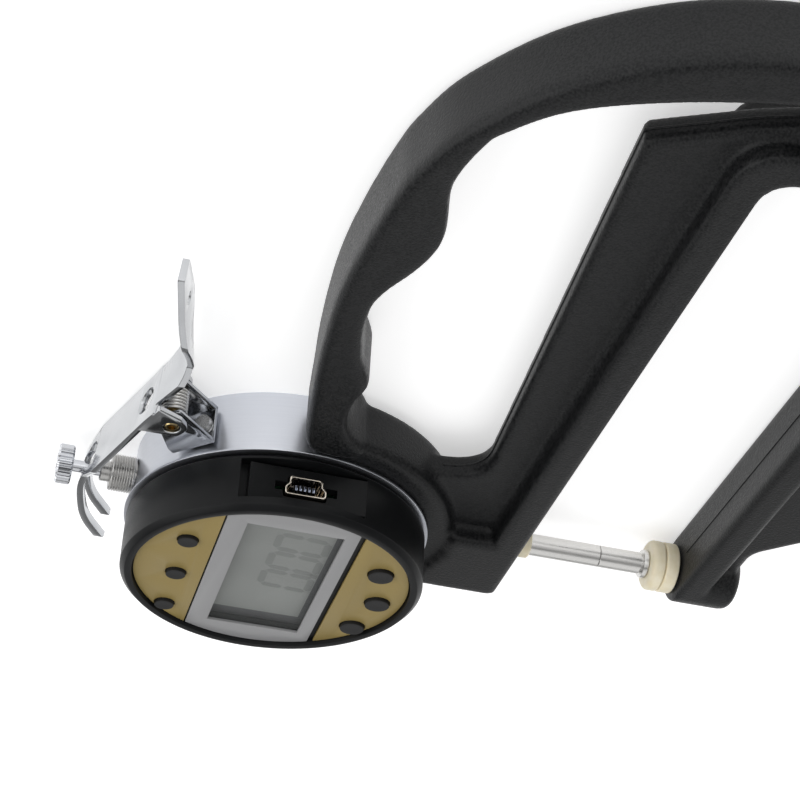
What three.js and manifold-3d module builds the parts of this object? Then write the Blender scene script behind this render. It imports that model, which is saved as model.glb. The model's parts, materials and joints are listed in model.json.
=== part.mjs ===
// A digital thickness gauge: a deep cast frame with a finger handle, a dial indicator on its upper
// arm, a spring-loaded spindle with a ceramic contact, an anvil below and a stamped lifting lever.
// Millimetres. The gauge lies on its back with the dial up: X runs into the throat, Y runs along
// the spindle towards its knob and Z leaves the dial. The origin is the centre of the indicator's
// back face, and the spindle axis is at x = 0 and z = spindleHeight.
import * as THREE from 'three';
import { mergeVertices } from 'three/addons/utils/BufferGeometryUtils.js';
import Module from 'manifold-3d';

const wasm = await Module();
wasm.setup();

// Shared clearances
const fit = 0.3;
const seat = 0.1;
const overrun = 2;
const sheetEdge = 0.3;

// Display window: the face, the housing and the case are built out from it
const windowHalfWidth = 20.4;
const windowTop = 8.7;
const windowBottom = -9.6;
const faceMargin = 5.93;
const rimWidth = 2.67;

// Indicator case
const caseStep = 0.6;
const cupDepth = 1.8;
const caseWall = 2.2;
const caseLipStep = 1.1;
const caseLipDepth = 0.5;
const caseFloor = 1.5;
const floorClearance = 0.8;
const spindleHeight = 6.9;
const coverThickness = 1.4;
const postRadius = 2.4;
const postInset = 3;
const coverPostAngle = 20;
const screwRadius = 1;
const screwHeadRadius = 1.8;
const screwHeadDepth = 0.9;
const screwLength = 5;

// Front housing, face and display
const housingDepth = 11.8;
const housingWall = 2.4;
const rimChamfer = 1;
const rearChamfer = 0.8;
const webThickness = 1.5;
const faceRecess = 0.8;
const faceThickness = 0.6;
const bandTopShare = 0.4812;
const bandBottomShare = -0.4653;
const bandLineTop = 0.35;
const bandLineBottom = 1.1;
const lensMargin = 0.8;
const glassMargin = 1.2;
const glassThickness = 2.2;
const stripWidth = 1.8;
const boardThickness = 1.6;
const boardInset = 4.2;
const housingPostInset = 4.88;
const housingPostAngle = 36;
const housingPostRadius = 2;

// Buttons
const smallButtonRadius = 1.9;
const largeButtonRadius = 2.4;
const upperMiddleShares = [-0.1101, 0.6836];
const upperSideShares = [0.507, 0];
const lowerMiddleShares = [-0.0836, -0.8166];
const lowerSideShares = [0.433, 0.0836];
const buttonProud = 0.65;
const buttonTravel = 0.4;
const buttonFlange = 0.7;
const buttonLip = 0.4;
const buttonFit = 0.2;
const buttonStemRadius = 1.1;
const buttonStemLength = 1.5;
const keypadBase = 0.8;
const keypadWidth = 4.6;

// Data port
const portY = -0.2;
const portRise = 5.7;
const shellWidth = 7.6;
const shellNeck = 6.1;
const shellHeight = 3.8;
const shellWall = 0.3;
const shellProud = 0.9;
const shellDepth = 5.9;
const panelInset = 2.1;
const panelThickness = 2;
const panelTop = 10.2;
const panelBottom = -11.7;
const panelFrontMargin = 3.5;
const panelRearMargin = 3.9;
const panelGroove = 1.7;
const panelNotch = 1.8;
const tongueWidth = 4.3;
const tongueThickness = 0.9;

// Power and measuring system
const batteryThickness = 3.2;
const batteryInset = 2.4;
const batteryGap = 0.6;
const batteryRise = 0.45;
const clipSheet = 0.35;
const clipWidth = 6;
const carriageHalf = 3.2;
const carriageLength = 11;
const carriageBottom = -6;
const shelfRight = 9.2;
const shelfHalfLength = 12;
const shelfThickness = 0.9;
const shelfRise = 0.25;
const scaleThickness = 0.8;
const guidePinRadius = 0.8;
const guidePinLength = 6;
const guidePinY = -2;
const guideRailWidth = 6;
const guideRailWall = 0.9;
const guideRailBottom = -9;
const guideRailTop = 14;
const guideRailHeight = 5.6;

// Spindle line
const spindleRadius = 2.2;
const spindleTop = 14;
const jointDrop = 18;
const travel = 10;
const rodRadius = 1.2;
const rodSocketDepth = 4;
const knobRadius = 3.85;
const knobStandoff = 12.1;
const knobLength = 3;
const knobTeeth = 24;
const knobToothShare = 0.93;
const collarRadius = 3.6;
const collarLength = 4.8;
const collarShankRadius = 2.7;
const collarShankLength = 3.6;
const collarThreads = 5;
const threadDepth = 0.25;
const collarBossRadius = 2;
const collarBossLength = 1.9;
const stemRadius = 4;
const stemBore = 3.2;
const stemInset = 1.8;
const stemReach = 0.2;
const bushRadius = 2.9;
const bushBore = 2.45;
const bushProud = 4;
const bushLength = 11;
const contactRadius = 5.1;
const contactThickness = 2.8;
const contactEdge = 0.5;
const contactGap = 0.1;
const contactStudRadius = 1.5;
const contactStudLength = 4;
const springWire = 0.5;
const springRadius = 2.7;
const springTurns = 9;

// Frame casting
const frameFront = 6.5;
const neckLength = 19.6;
const throatHeight = 34.3;
const throatBack = 127.6;
const throatFillet = 6;
const flangeDepth = 6.2;
const webHalf = 2.5;
const blockLeft = -12.5;
const blockRight = 7.5;
const neckGap = 5.1;
const frameEdge = 0.8;
const gripEdge = 2.6;
const gripEdgeHeight = 4;
const ringFit = 0.4;
const ringWall = 5.2;
const ringHalf = 5.3;
const ringEdge = 1.4;
const ringEnd = -1.5;
const noseRadius = 6.5;
const noseDrop = 6.5;
const noseEdge = 2;
const anvilBore = 2.3;
const anvilShankLength = 6;
const anvilScrewRadius = 1.5;

// Lifting lever and its bracket
const pivotOut = 9.5;
const pivotAcross = -1.45;
const leverSheet = 1.2;
const leverHalf = 5.4;
const leverStandoff = 4.8;
const leverSlopeShare = -0.32;
const leverCantShare = 0.11;
const vertexCantShare = -0.13;
const bladeCantShare = 0.09;
const vertexReach = 14.6;
const bladeLength = 26.6;
const bladeSlopeShare = 0.225;
const bladeTaper = 15;
const bladeEndHalf = 2.4;
const bladeHoleRadius = 1.2;
const bladeHoleReach = 18.8;
const neckHalf = 3.4;
const backNeckHalf = 4.5;
const waistHalf = 1.5;
const waistReach = 10.5;
const forkEndX = -19.4;
const forkHalf = 3.5;
const slotHalf = 1.9;
const leverHoleRadius = 2.65;
const innerHoleX = 5.2;
const outerHoleSetback = 1;
const earRadius = 2.7;
const earBefore = 2.8;
const earBeyond = 5.2;
const pinRadius = 1.3;
const pinHalf = 5.3;
const bracketAngle = 44;
const bracketHalf = 3.9;
const bracketSheet = 0.8;
const bracketRight = -4.4;
const bracketLeft = 4.9;
const bracketReach = 11.4;
const torsionWire = 0.6;
const torsionRadius = 2.3;
const torsionTurns = 4;
const torsionPitch = 1.2;

// Faceting
const leverStretches = 5;
const coarse = 48;
const medium = 24;
const fine = 12;

// Derived stations
const faceRadius = windowHalfWidth + faceMargin;
const housingRadius = faceRadius + rimWidth;
const caseRadius = housingRadius - caseStep;
const caseLipRadius = caseRadius + caseLipStep;
const caseInner = caseRadius - caseWall;
const postCircle = caseInner - postInset;
const boardRadius = housingRadius - boardInset;
const bandTop = bandTopShare * faceRadius;
const bandBottom = bandBottomShare * faceRadius;
const panelPlane = housingRadius - panelInset;
const caseFloorHeight = spindleHeight + spindleRadius + floorClearance;
const floorTop = caseFloorHeight + caseFloor;
const caseDepth = floorTop + cupDepth;
const shelfHeight = caseFloorHeight + shelfRise;
const batteryRight = -carriageHalf - batteryGap;
const batteryRadius = (caseInner - batteryInset + batteryRight) / 2;
const batteryX = batteryRight - batteryRadius;
const batteryLow = floorTop + batteryRise;
const batteryTop = batteryLow + batteryThickness;
const boardHeight = batteryTop + clipSheet + 2 * seat;
const housingRear = caseDepth + fit;
const housingFront = housingRear + housingDepth;
const faceTop = housingFront - faceRecess;
const faceBottom = faceTop - faceThickness;
const webTop = faceBottom - seat;
const webBottom = webTop - webThickness;
const boardTop = boardHeight + boardThickness;
const portHeight = housingRear + portRise;
const panelFront = portHeight + panelFrontMargin;
const panelRear = portHeight - panelRearMargin;
const glassTop = webBottom - fit;
const glassBottom = glassTop - glassThickness;
const frameThickness = spindleHeight + frameFront;
const blockTop = -caseRadius - neckGap;
const armBottom = -caseRadius - neckLength;
const throatBottom = armBottom - throatHeight;
const contactMeet = throatBottom + fit + contactThickness;
const flangeTop = armBottom + flangeDepth;
const flangeLow = throatBottom - flangeDepth;
const flangeBack = throatBack + flangeDepth;
const noseBottom = flangeLow - noseDrop;
const ringInner = caseRadius + ringFit;
const ringOuter = ringInner + ringWall;
const stemBottom = armBottom + stemInset;
const stemTop = -caseInner - stemReach;
const lowerBushBottom = armBottom - bushProud;
const spindleJoint = armBottom - jointDrop;
const collarTop = caseRadius + collarLength;
const knobBottom = caseRadius + knobStandoff;
const bracketFoot = caseRadius + fit;
const [pivotX, pivotY] = onBracket(bracketFoot + pivotOut, pivotAcross);
const vertexX = pivotX + vertexReach;
const bladeEndX = vertexX + bladeLength;
const bladeHoleX = vertexX + bladeHoleReach;
const outerHoleX = pivotX - outerHoleSetback;

// Turns a closed geometry into a solid, with shared vertices and without empty triangles
function solidOf(geometry) {
  const bare = geometry.index ? geometry.toNonIndexed() : geometry.clone();
  bare.deleteAttribute('normal');
  bare.deleteAttribute('uv');
  const merged = mergeVertices(bare, 1e-4);
  const index = merged.index.array;
  const kept = [];
  for (let i = 0; i < index.length; i += 3) {
    const [a, b, c] = [index[i], index[i + 1], index[i + 2]];
    if (a !== b && b !== c && c !== a) kept.push(a, b, c);
  }
  return new wasm.Manifold(new wasm.Mesh({
    numProp: 3,
    vertProperties: new Float32Array(merged.attributes.position.array),
    triVerts: new Uint32Array(kept),
  }));
}

function geometryOf(solid) {
  const mesh = solid.getMesh();
  const geometry = new THREE.BufferGeometry();
  geometry.setAttribute('position', new THREE.BufferAttribute(mesh.vertProperties.slice(), 3));
  geometry.setIndex(new THREE.BufferAttribute(mesh.triVerts.slice(), 1));
  geometry.computeVertexNormals();
  return geometry;
}

const join = (first, ...others) => others.reduce((sum, next) => sum.add(next), first);
const cut = (first, ...others) => others.reduce((rest, next) => rest.subtract(next), first);

// A box between two opposite corners
function block(low, high) {
  const size = high.map((value, axis) => value - low[axis]);
  const box = new THREE.BoxGeometry(...size);
  box.translate(...low.map((value, axis) => value + size[axis] / 2));
  return solidOf(box);
}

// A round bar between two places along an axis, with the other two coordinates of its centre line
function bar(axis, radius, from, to, place, segments = fine) {
  const rod = new THREE.CylinderGeometry(radius, radius, to - from, segments);
  rod.translate(0, (from + to) / 2, 0);
  if (axis === 'x') rod.rotateZ(-Math.PI / 2).translate(0, place[0], place[1]);
  if (axis === 'y') rod.translate(place[0], 0, place[1]);
  if (axis === 'z') rod.rotateX(Math.PI / 2).translate(place[0], place[1], 0);
  return solidOf(rod);
}

// A turned piece: radius and height pairs, closed on the axis or on themselves
function turned(profile, segments = medium) {
  return new THREE.LatheGeometry(profile.map(([r, h]) => new THREE.Vector2(r, h)), segments);
}

const turnedAboutZ = (profile, segments) => solidOf(turned(profile, segments).rotateX(Math.PI / 2));

// A piece turned about the spindle axis
function turnedOnSpindle(profile, segments) {
  return solidOf(turned(profile, segments).translate(0, 0, spindleHeight));
}

// A closed outline whose corners may be rounded: each corner is x, y and an optional radius
function outline(corners) {
  const path = new THREE.Shape();
  corners.forEach(([x, y, radius = 0], i) => {
    const here = new THREE.Vector2(x, y);
    const before = corners[(i + corners.length - 1) % corners.length];
    const after = corners[(i + 1) % corners.length];
    const back = new THREE.Vector2(before[0], before[1]).sub(here).normalize();
    const ahead = new THREE.Vector2(after[0], after[1]).sub(here).normalize();
    const reach = radius / Math.tan(Math.acos(back.dot(ahead)) / 2);
    const enter = here.clone().addScaledVector(back, reach);
    const leave = here.clone().addScaledVector(ahead, reach);
    if (i === 0) path.moveTo(enter.x, enter.y);
    else path.lineTo(enter.x, enter.y);
    if (radius) path.quadraticCurveTo(x, y, leave.x, leave.y);
  });
  path.closePath();
  return path;
}

// A plain plate between two heights
function plate(shape, low, high, steps = 4) {
  const extruded = new THREE.ExtrudeGeometry(shape, {
    depth: high - low, bevelEnabled: false, curveSegments: steps,
  });
  return solidOf(extruded.translate(0, 0, low));
}

// The direction in which each corner of a ring of points moves when the outline shrinks by one
function inwardSteps(ring) {
  return ring.map((here, i) => {
    const before = ring[(i + ring.length - 1) % ring.length];
    const after = ring[(i + 1) % ring.length];
    const arriving = here.clone().sub(before).normalize();
    const leaving = after.clone().sub(here).normalize();
    const sum = new THREE.Vector2(-arriving.y - leaving.y, arriving.x + leaving.x);
    return sum.divideScalar(1 + arriving.dot(leaving));
  });
}

// A plate whose rims are rounded inside its outline, by an edge and a height of that edge
function roundedPlate(shape, low, high, edge, edgeHeight = edge, steps = 4, arcs = 2) {
  const ring = shape.getPoints(steps);
  if (ring[0].distanceTo(ring[ring.length - 1]) < fit / 10) ring.pop();
  if (THREE.ShapeUtils.isClockWise(ring)) ring.reverse();
  const inward = inwardSteps(ring);
  const points = [];
  const addLayer = (inset, height) => ring.forEach(({ x, y }, i) => {
    points.push(x + inward[i].x * inset, y + inward[i].y * inset, height);
  });
  const stops = Array.from({ length: arcs + 1 }, (_, k) => k / arcs * Math.PI / 2);
  stops.forEach((angle) => {
    addLayer(edge * (1 - Math.sin(angle)), low + edgeHeight * (1 - Math.cos(angle)));
  });
  stops.reverse().forEach((angle) => {
    addLayer(edge * (1 - Math.sin(angle)), high - edgeHeight * (1 - Math.cos(angle)));
  });
  const count = ring.length;
  const faces = [];
  const last = (2 * stops.length - 1) * count;
  THREE.ShapeUtils.triangulateShape(ring, []).forEach(([a, b, c]) => {
    faces.push(c, b, a, last + a, last + b, last + c);
  });
  for (let start = 0; start < last; start += count) {
    for (let i = 0; i < count; i++) {
      const [a, b] = [start + i, start + (i + 1) % count];
      faces.push(a, b, b + count, a, b + count, a + count);
    }
  }
  const geometry = new THREE.BufferGeometry();
  geometry.setAttribute('position', new THREE.Float32BufferAttribute(points, 3));
  geometry.setIndex(faces);
  return solidOf(geometry);
}

// A disc segment of the face between two chords
function faceSegment(radius, bottom, top) {
  const disc = new THREE.Shape();
  const low = Math.asin(THREE.MathUtils.clamp(bottom / radius, -1, 1));
  const high = Math.asin(THREE.MathUtils.clamp(top / radius, -1, 1));
  disc.absarc(0, 0, radius, low, high, false);
  disc.absarc(0, 0, radius, Math.PI - high, Math.PI - low, false);
  disc.closePath();
  return disc;
}

// A wire of round section along a helix about the Y axis, with flat ends
function helixWire(radius, wire, pitch, turns) {
  const steps = 8;
  const sides = 5;
  const rings = steps * turns;
  const points = [];
  for (let i = 0; i <= rings; i++) {
    const turn = i / steps * Math.PI * 2;
    for (let k = 0; k < sides; k++) {
      const around = k / sides * Math.PI * 2;
      const reach = radius + wire / 2 * Math.cos(around);
      points.push(reach * Math.cos(turn), pitch * i / steps + wire / 2 * Math.sin(around),
        -reach * Math.sin(turn));
    }
  }
  const faces = [];
  for (let i = 0; i < rings; i++) {
    for (let k = 0; k < sides; k++) {
      const a = i * sides + k;
      const b = i * sides + (k + 1) % sides;
      faces.push(a, b + sides, b, a, a + sides, b + sides);
    }
  }
  for (let k = 1; k < sides - 1; k++) {
    faces.push(0, k, k + 1);
    const end = rings * sides;
    faces.push(end, end + k + 1, end + k);
  }
  const geometry = new THREE.BufferGeometry();
  geometry.setAttribute('position', new THREE.Float32BufferAttribute(points, 3));
  geometry.setIndex(faces);
  return geometry;
}

const gauge = new THREE.Group();

// Finishes as the object shows them
const finish = {
  casting: { color: 0x1e2023, roughness: 0.62, metalness: 0.1 },
  satin: { color: 0xb4b7bf, roughness: 0.32, metalness: 0.9 },
  chrome: { color: 0xd6d8dc, roughness: 0.12, metalness: 1 },
  steel: { color: 0x9fa2a6, roughness: 0.25, metalness: 1 },
  plastic: { color: 0x17181a, roughness: 0.45, metalness: 0 },
  gold: { color: 0xa8904c, roughness: 0.5, metalness: 0.35 },
  band: { color: 0xc2c4c8, roughness: 0.5, metalness: 0 },
  lens: { color: 0xdfe4e2, roughness: 0.05, metalness: 0 },
  display: { color: 0x8f958e, roughness: 0.3, metalness: 0 },
  rubber: { color: 0x3a3b3d, roughness: 0.8, metalness: 0 },
  board: { color: 0x1f5a36, roughness: 0.6, metalness: 0 },
  ceramic: { color: 0xe9e2c8, roughness: 0.35, metalness: 0 },
  bronze: { color: 0x9a7440, roughness: 0.35, metalness: 0.9 },
};

function add(name, solid, look) {
  const mesh = new THREE.Mesh(geometryOf(solid), new THREE.MeshStandardMaterial(finish[look]));
  mesh.name = name;
  gauge.add(mesh);
  return mesh;
}

// Frame: a flanged C around the throat, a thin web outside it, a grip and a cradle for the case

// Grip outline as shares: x from the cradle's bore to the back of the flange, and y of the depth of
// the flange's underside. The outer bow, the foot on the spine, the waved finger side and the root
const gripBowShares = [
  [0.059, 0.017], [0.152, 0.038], [0.242, 0.053], [0.349, 0.066], [0.45, 0.072],
  [0.542, 0.07], [0.635, 0.062], [0.725, 0.05], [0.796, 0.033], [0.907, -0.019],
  [1.045, -0.147], [1.148, -0.339], [1.187, -0.565], [1.17, -0.746],
];
const gripFootShares = [[1.107, -0.994], [1.03, -0.949]];
const gripWaveShares = [
  [1.086, -0.768], [1.105, -0.588], [1.067, -0.373], [0.997, -0.181], [0.919, -0.084],
  [0.884, -0.062], [0.821, -0.044], [0.769, -0.042], [0.676, -0.064], [0.625, -0.063],
  [0.57, -0.056], [0.512, -0.032], [0.464, -0.009], [0.414, -0.001], [0.367, -0.006],
  [0.302, -0.025], [0.236, -0.05], [0.183, -0.07], [0.126, -0.085], [0.078, -0.107],
];
const gripRootShares = [[0.016, -0.181], [-0.008, -0.007]];
// Outside of the web as shares of the back and underside of the flange, with a rounding as a share
// of the throat's fillet: up the saddle by the cradle, along the finger opening to its tail behind
// the throat, then round the spine and under the lower arm to the nose
const webOutsideShares = [
  [0.184, -0.288], [0.22, -0.384, 0.83], [0.945, -0.322], [1.001, -0.486, 2],
  [1.055, -0.701], [1.129, -0.814], [1.102, -1.096, 3.33], [0.882, -1.203, 3.33],
  [0.206, -1.201, 1.67], [0.108, -1.054, 1], [0, -1.056],
];

const vectors = (pairs) => pairs.map(([x, y]) => new THREE.Vector2(x, y));

function gripPoint([along, down]) {
  return new THREE.Vector2(ringInner + along * (flangeBack - ringInner), -down * flangeLow);
}

function gripShape() {
  const shape = new THREE.Shape();
  const follow = (shares) => {
    const [first, ...rest] = shares.map(gripPoint);
    shape.lineTo(first.x, first.y);
    if (rest.length > 1) shape.splineThru(rest);
    else rest.forEach(({ x, y }) => shape.lineTo(x, y));
  };
  const start = gripPoint(gripBowShares[0]);
  shape.moveTo(start.x, start.y);
  shape.splineThru(gripBowShares.slice(1).map(gripPoint));
  [gripFootShares, gripWaveShares, gripRootShares].forEach(follow);
  shape.closePath();
  return shape;
}

function webShape() {
  const outside = webOutsideShares.map(([along, down, rounding = 0]) => (
    [along * flangeBack, -down * flangeLow, rounding * throatFillet]
  ));
  return outline([
    [blockRight, blockTop], ...outside, [0, flangeLow], [throatBack, flangeLow],
    [throatBack, flangeTop], [blockRight, flangeTop],
  ]);
}

function flangeShape() {
  const outerFillet = throatFillet + flangeDepth / 2;
  return outline([
    [blockLeft, armBottom], [throatBack, armBottom, throatFillet],
    [throatBack, throatBottom, throatFillet], [0, throatBottom], [0, flangeLow],
    [flangeBack, flangeLow, outerFillet], [flangeBack, flangeTop, outerFillet],
    [blockLeft, flangeTop],
  ]);
}

function cradle() {
  const low = spindleHeight - ringHalf;
  const high = spindleHeight + ringHalf;
  const inner = ringInner - overrun;
  const ring = turnedAboutZ([
    [inner, low], [ringOuter - ringEdge, low], [ringOuter, low + ringEdge],
    [ringOuter, high - ringEdge], [ringOuter - ringEdge, high], [inner, high], [inner, low],
  ], coarse);
  const kept = block([blockLeft, -2 * ringOuter, -overrun], [2 * ringOuter, ringEnd, frameThickness]);
  return ring.intersect(kept);
}

function nose() {
  const shape = turnedOnSpindle([
    [0, noseBottom], [noseRadius - noseEdge, noseBottom], [noseRadius, noseBottom + noseEdge],
    [noseRadius, throatBottom], [0, throatBottom],
  ]);
  return shape;
}

const clampY = (blockTop + armBottom) / 2;

function frame() {
  const web = roundedPlate(webShape(), spindleHeight - webHalf, spindleHeight + webHalf, frameEdge);
  const grip = roundedPlate(gripShape(), 0, frameThickness, gripEdge, gripEdgeHeight, 3);
  const flange = roundedPlate(flangeShape(), 0, frameThickness, frameEdge);
  const stemBlock = roundedPlate(outline([
    [blockLeft, armBottom], [blockRight, armBottom], [blockRight, blockTop, frameEdge],
    [blockLeft, blockTop, frameEdge],
  ]), 0, frameThickness, frameEdge);
  const body = join(flange, web, grip, stemBlock, cradle(), nose());
  const place = [0, spindleHeight];
  const stemEnd = stemBottom - fit;
  return cut(
    body,
    bar('z', ringInner, -overrun, frameThickness + overrun, [0, 0], coarse),
    bar('y', stemRadius + fit, stemEnd, -ringInner + overrun, place),
    bar('y', bushRadius + fit, armBottom - overrun, stemEnd + overrun, place),
    bar('x', screwHeadRadius + fit, blockLeft - overrun, 0, [clampY, spindleHeight]),
    bar('y', anvilBore, throatBottom - anvilShankLength - fit, throatBottom + overrun, place),
    bar('y', anvilScrewRadius + fit, noseBottom - overrun, throatBottom - anvilShankLength, place),
  );
}

add('frame', frame(), 'casting');

// Stem, its bushes and the set screw that clamps it in the frame
const onSpindle = [0, spindleHeight];

function tube(outer, inner, from, to) {
  return cut(
    bar('y', outer, from, to, onSpindle, medium),
    bar('y', inner, from - overrun, to + overrun, onSpindle, medium),
  );
}

add('stem', tube(stemRadius, stemBore, stemBottom, stemTop), 'steel');
const lowerBushTop = lowerBushBottom + bushLength + overrun;
add('lower_bush', tube(bushRadius, bushBore, lowerBushBottom, lowerBushTop), 'ceramic');
add('upper_bush', tube(bushRadius, bushBore, stemTop - bushLength, stemTop), 'bronze');

function setScrew(radius, length) {
  const socket = radius / 2;
  const screw = new THREE.CylinderGeometry(radius, radius, length, fine);
  const hex = new THREE.CylinderGeometry(socket, socket, length, 6);
  hex.translate(0, length / 2, 0);
  return cut(solidOf(screw), solidOf(hex));
}

const clampLength = -blockLeft - stemRadius - 2 * fit;
const clampCentre = blockLeft + clampLength / 2 + fit;
const clampScrew = setScrew(screwHeadRadius, clampLength).rotate([0, 0, 90])
  .translate([clampCentre, clampY, spindleHeight]);
add('stem_clamp_screw', clampScrew, 'steel');

// Case: a turned cup with a window in its floor, posts, side bores and a guide rail
const atAngle = (radius, degrees) => {
  const angle = THREE.MathUtils.degToRad(degrees);
  return [radius * Math.cos(angle), radius * Math.sin(angle)];
};
const coverPosts = [coverPostAngle, 180 - coverPostAngle, 180 + coverPostAngle, -coverPostAngle]
  .map((angle) => atAngle(postCircle, angle));
const housingPosts = [housingPostAngle, 180 - housingPostAngle, 180 + housingPostAngle, -housingPostAngle]
  .map((angle) => atAngle(housingRadius - housingPostInset, angle));
const bracketScrews = [bracketRight / 2, bracketLeft / 2];

// A point at a distance along the bracket's normal and across it
function onBracket(out, across) {
  const angle = THREE.MathUtils.degToRad(bracketAngle);
  const [c, s] = [Math.cos(angle), Math.sin(angle)];
  return [out * c - across * s, out * s + across * c];
}

// A round bar along the bracket's normal
function bracketBar(radius, from, to, across) {
  const rod = new THREE.CylinderGeometry(radius, radius, to - from, fine);
  rod.rotateZ(-Math.PI / 2);
  rod.translate((from + to) / 2, across, spindleHeight);
  rod.rotateZ(THREE.MathUtils.degToRad(bracketAngle));
  return solidOf(rod);
}

const railLeft = -carriageHalf - guideRailWidth - fit;
const windowLeft = -carriageHalf - 2 * fit;
const windowLow = -shelfHalfLength - fit;
const windowHigh = shelfHalfLength + travel + fit;

function indicatorCase() {
  const cup = turnedAboutZ([
    [caseInner, 0], [caseRadius, 0], [caseRadius, caseDepth - caseLipDepth],
    [caseLipRadius, caseDepth - caseLipDepth], [caseLipRadius, caseDepth],
    [caseInner, caseDepth], [caseInner, floorTop], [0, floorTop], [0, caseFloorHeight],
    [caseInner, caseFloorHeight], [caseInner, 0],
  ], coarse);
  const posts = coverPosts.map((place) => (
    bar('z', postRadius, coverThickness + seat, floorTop - seat, place)
  ));
  const rail = block(
    [railLeft, guideRailBottom, caseFloorHeight - guideRailHeight],
    [railLeft + guideRailWidth, guideRailTop, floorTop - seat],
  );
  const slotHalfHeight = guidePinRadius + fit;
  const slot = block(
    [railLeft + guideRailWall, guideRailBottom - overrun, spindleHeight - slotHalfHeight],
    [railLeft + guideRailWidth + overrun, guideRailTop + overrun, spindleHeight + slotHalfHeight],
  );
  return cut(
    join(cup, ...posts, cut(rail, slot)),
    block([windowLeft, windowLow, caseFloorHeight - overrun],
      [shelfRight + 2 * fit, windowHigh, floorTop + overrun]),
    ...coverPosts.map((place) => (
      bar('z', screwRadius + fit, 0, coverThickness + screwLength, place)
    )),
    ...housingPosts.map((place) => (
      bar('z', screwRadius + fit, caseFloorHeight - overrun, floorTop + overrun, place)
    )),
    bar('y', collarShankRadius + fit, caseInner - overrun, caseRadius + overrun, onSpindle),
    bar('y', stemRadius + fit, -caseRadius - overrun, -caseInner + overrun, onSpindle),
    ...bracketScrews.map((across) => (
      bracketBar(screwRadius + fit, caseInner - overrun, caseRadius + overrun, across)
    )),
  );
}

add('indicator_case', indicatorCase(), 'satin');

function countersunk() {
  const head = coverThickness - seat;
  return turned([
    [0, seat], [screwHeadRadius, seat], [screwHeadRadius, seat + head / 3],
    [screwRadius, coverThickness], [screwRadius, coverThickness + screwLength - fit],
    [0, coverThickness + screwLength - fit],
  ], fine);
}

function coverHole(place) {
  const widened = screwHeadRadius + fit;
  return solidOf(turned([
    [0, -overrun], [widened, -overrun], [widened, seat + coverThickness / 3 + fit],
    [screwRadius + fit, coverThickness], [screwRadius + fit, coverThickness + overrun],
    [0, coverThickness + overrun],
  ], fine).rotateX(Math.PI / 2).translate(...place, 0));
}

const coverPlate = turnedAboutZ([
  [0, 0], [caseInner - fit - sheetEdge, 0], [caseInner - fit, sheetEdge],
  [caseInner - fit, coverThickness], [0, coverThickness],
], coarse);
add('back_cover', cut(coverPlate, ...coverPosts.map(coverHole)), 'satin');
coverPosts.forEach((place, i) => {
  const screw = countersunk().rotateX(Math.PI / 2).translate(...place, 0);
  add(`cover_screw_${i + 1}`, solidOf(screw), 'steel');
});

// Front housing with the port pocket and the screws that hold it to the case
const panelLow = panelBottom - fit;
const panelHigh = panelTop + panelGroove;

// Buttons as name, x, y and radius; the names give their place on the face
function buttonRow(name, radius, [middleX, middleY], [sideX, sideY]) {
  return [['right', sideX, sideY], ['middle', 0, 0], ['left', -sideX, sideY]]
    .map(([side, x, y]) => (
      [`button_${name}_${side}`, faceRadius * (middleX + x), faceRadius * (middleY + y), radius]
    ));
}

const buttons = [
  ...buttonRow('upper', smallButtonRadius, upperMiddleShares, upperSideShares),
  ...buttonRow('lower', largeButtonRadius, lowerMiddleShares, lowerSideShares),
];
const buttonHoles = (low, high) => buttons.map(([, x, y, radius]) => (
  bar('z', radius + buttonFit, low, high, [x, y])
));

function frontHousing() {
  const inner = housingRadius - housingWall;
  const faceBore = faceRadius + fit;
  const shell = turnedAboutZ([
    [inner, housingRear], [housingRadius - rearChamfer, housingRear],
    [housingRadius, housingRear + rearChamfer], [housingRadius, housingFront - rimChamfer],
    [housingRadius - rimChamfer, housingFront], [faceBore, housingFront], [faceBore, webTop],
    [0, webTop], [0, webBottom], [inner, webBottom], [inner, housingRear],
  ], coarse);
  const posts = housingPosts.map((place) => (
    bar('z', housingPostRadius, floorTop + fit, webTop - seat, place)
  ));
  const lensX = windowHalfWidth + lensMargin + fit;
  return cut(
    join(shell, ...posts),
    block([-lensX, windowBottom - lensMargin - fit, webBottom - overrun],
      [lensX, windowTop + lensMargin + fit, housingFront + overrun]),
    ...buttonHoles(webBottom - overrun, housingFront + overrun),
    ...housingPosts.map((place) => (
      bar('z', screwRadius + fit, floorTop - overrun, caseFloorHeight + screwLength + fit, place)
    )),
    block([panelPlane - panelThickness - fit, panelLow, panelRear - 2 * fit],
      [housingRadius + overrun, panelHigh, panelFront + fit]),
  );
}

add('front_housing', frontHousing(), 'plastic');

const caseScrew = turned([
  [0, 0], [screwHeadRadius, 0], [screwHeadRadius, screwHeadDepth], [screwRadius, screwHeadDepth],
  [screwRadius, screwHeadDepth + screwLength], [0, screwHeadDepth + screwLength],
], fine).rotateX(Math.PI / 2);
housingPosts.forEach((place, i) => {
  const height = caseFloorHeight - seat - screwHeadDepth;
  add(`housing_screw_${i + 1}`, solidOf(caseScrew.clone().translate(...place, height)), 'steel');
});

// Face: two gold plates and a grey band that frames the window
function facePlate(bottom, top) {
  return cut(
    plate(faceSegment(faceRadius, bottom, top), faceBottom, faceTop, fine),
    ...buttonHoles(faceBottom - overrun, faceTop + overrun),
  );
}

add('face_plate_upper', facePlate(bandTop + bandLineTop, faceRadius), 'gold');
add('face_plate_lower', facePlate(-faceRadius, bandBottom - bandLineBottom), 'gold');

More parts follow.
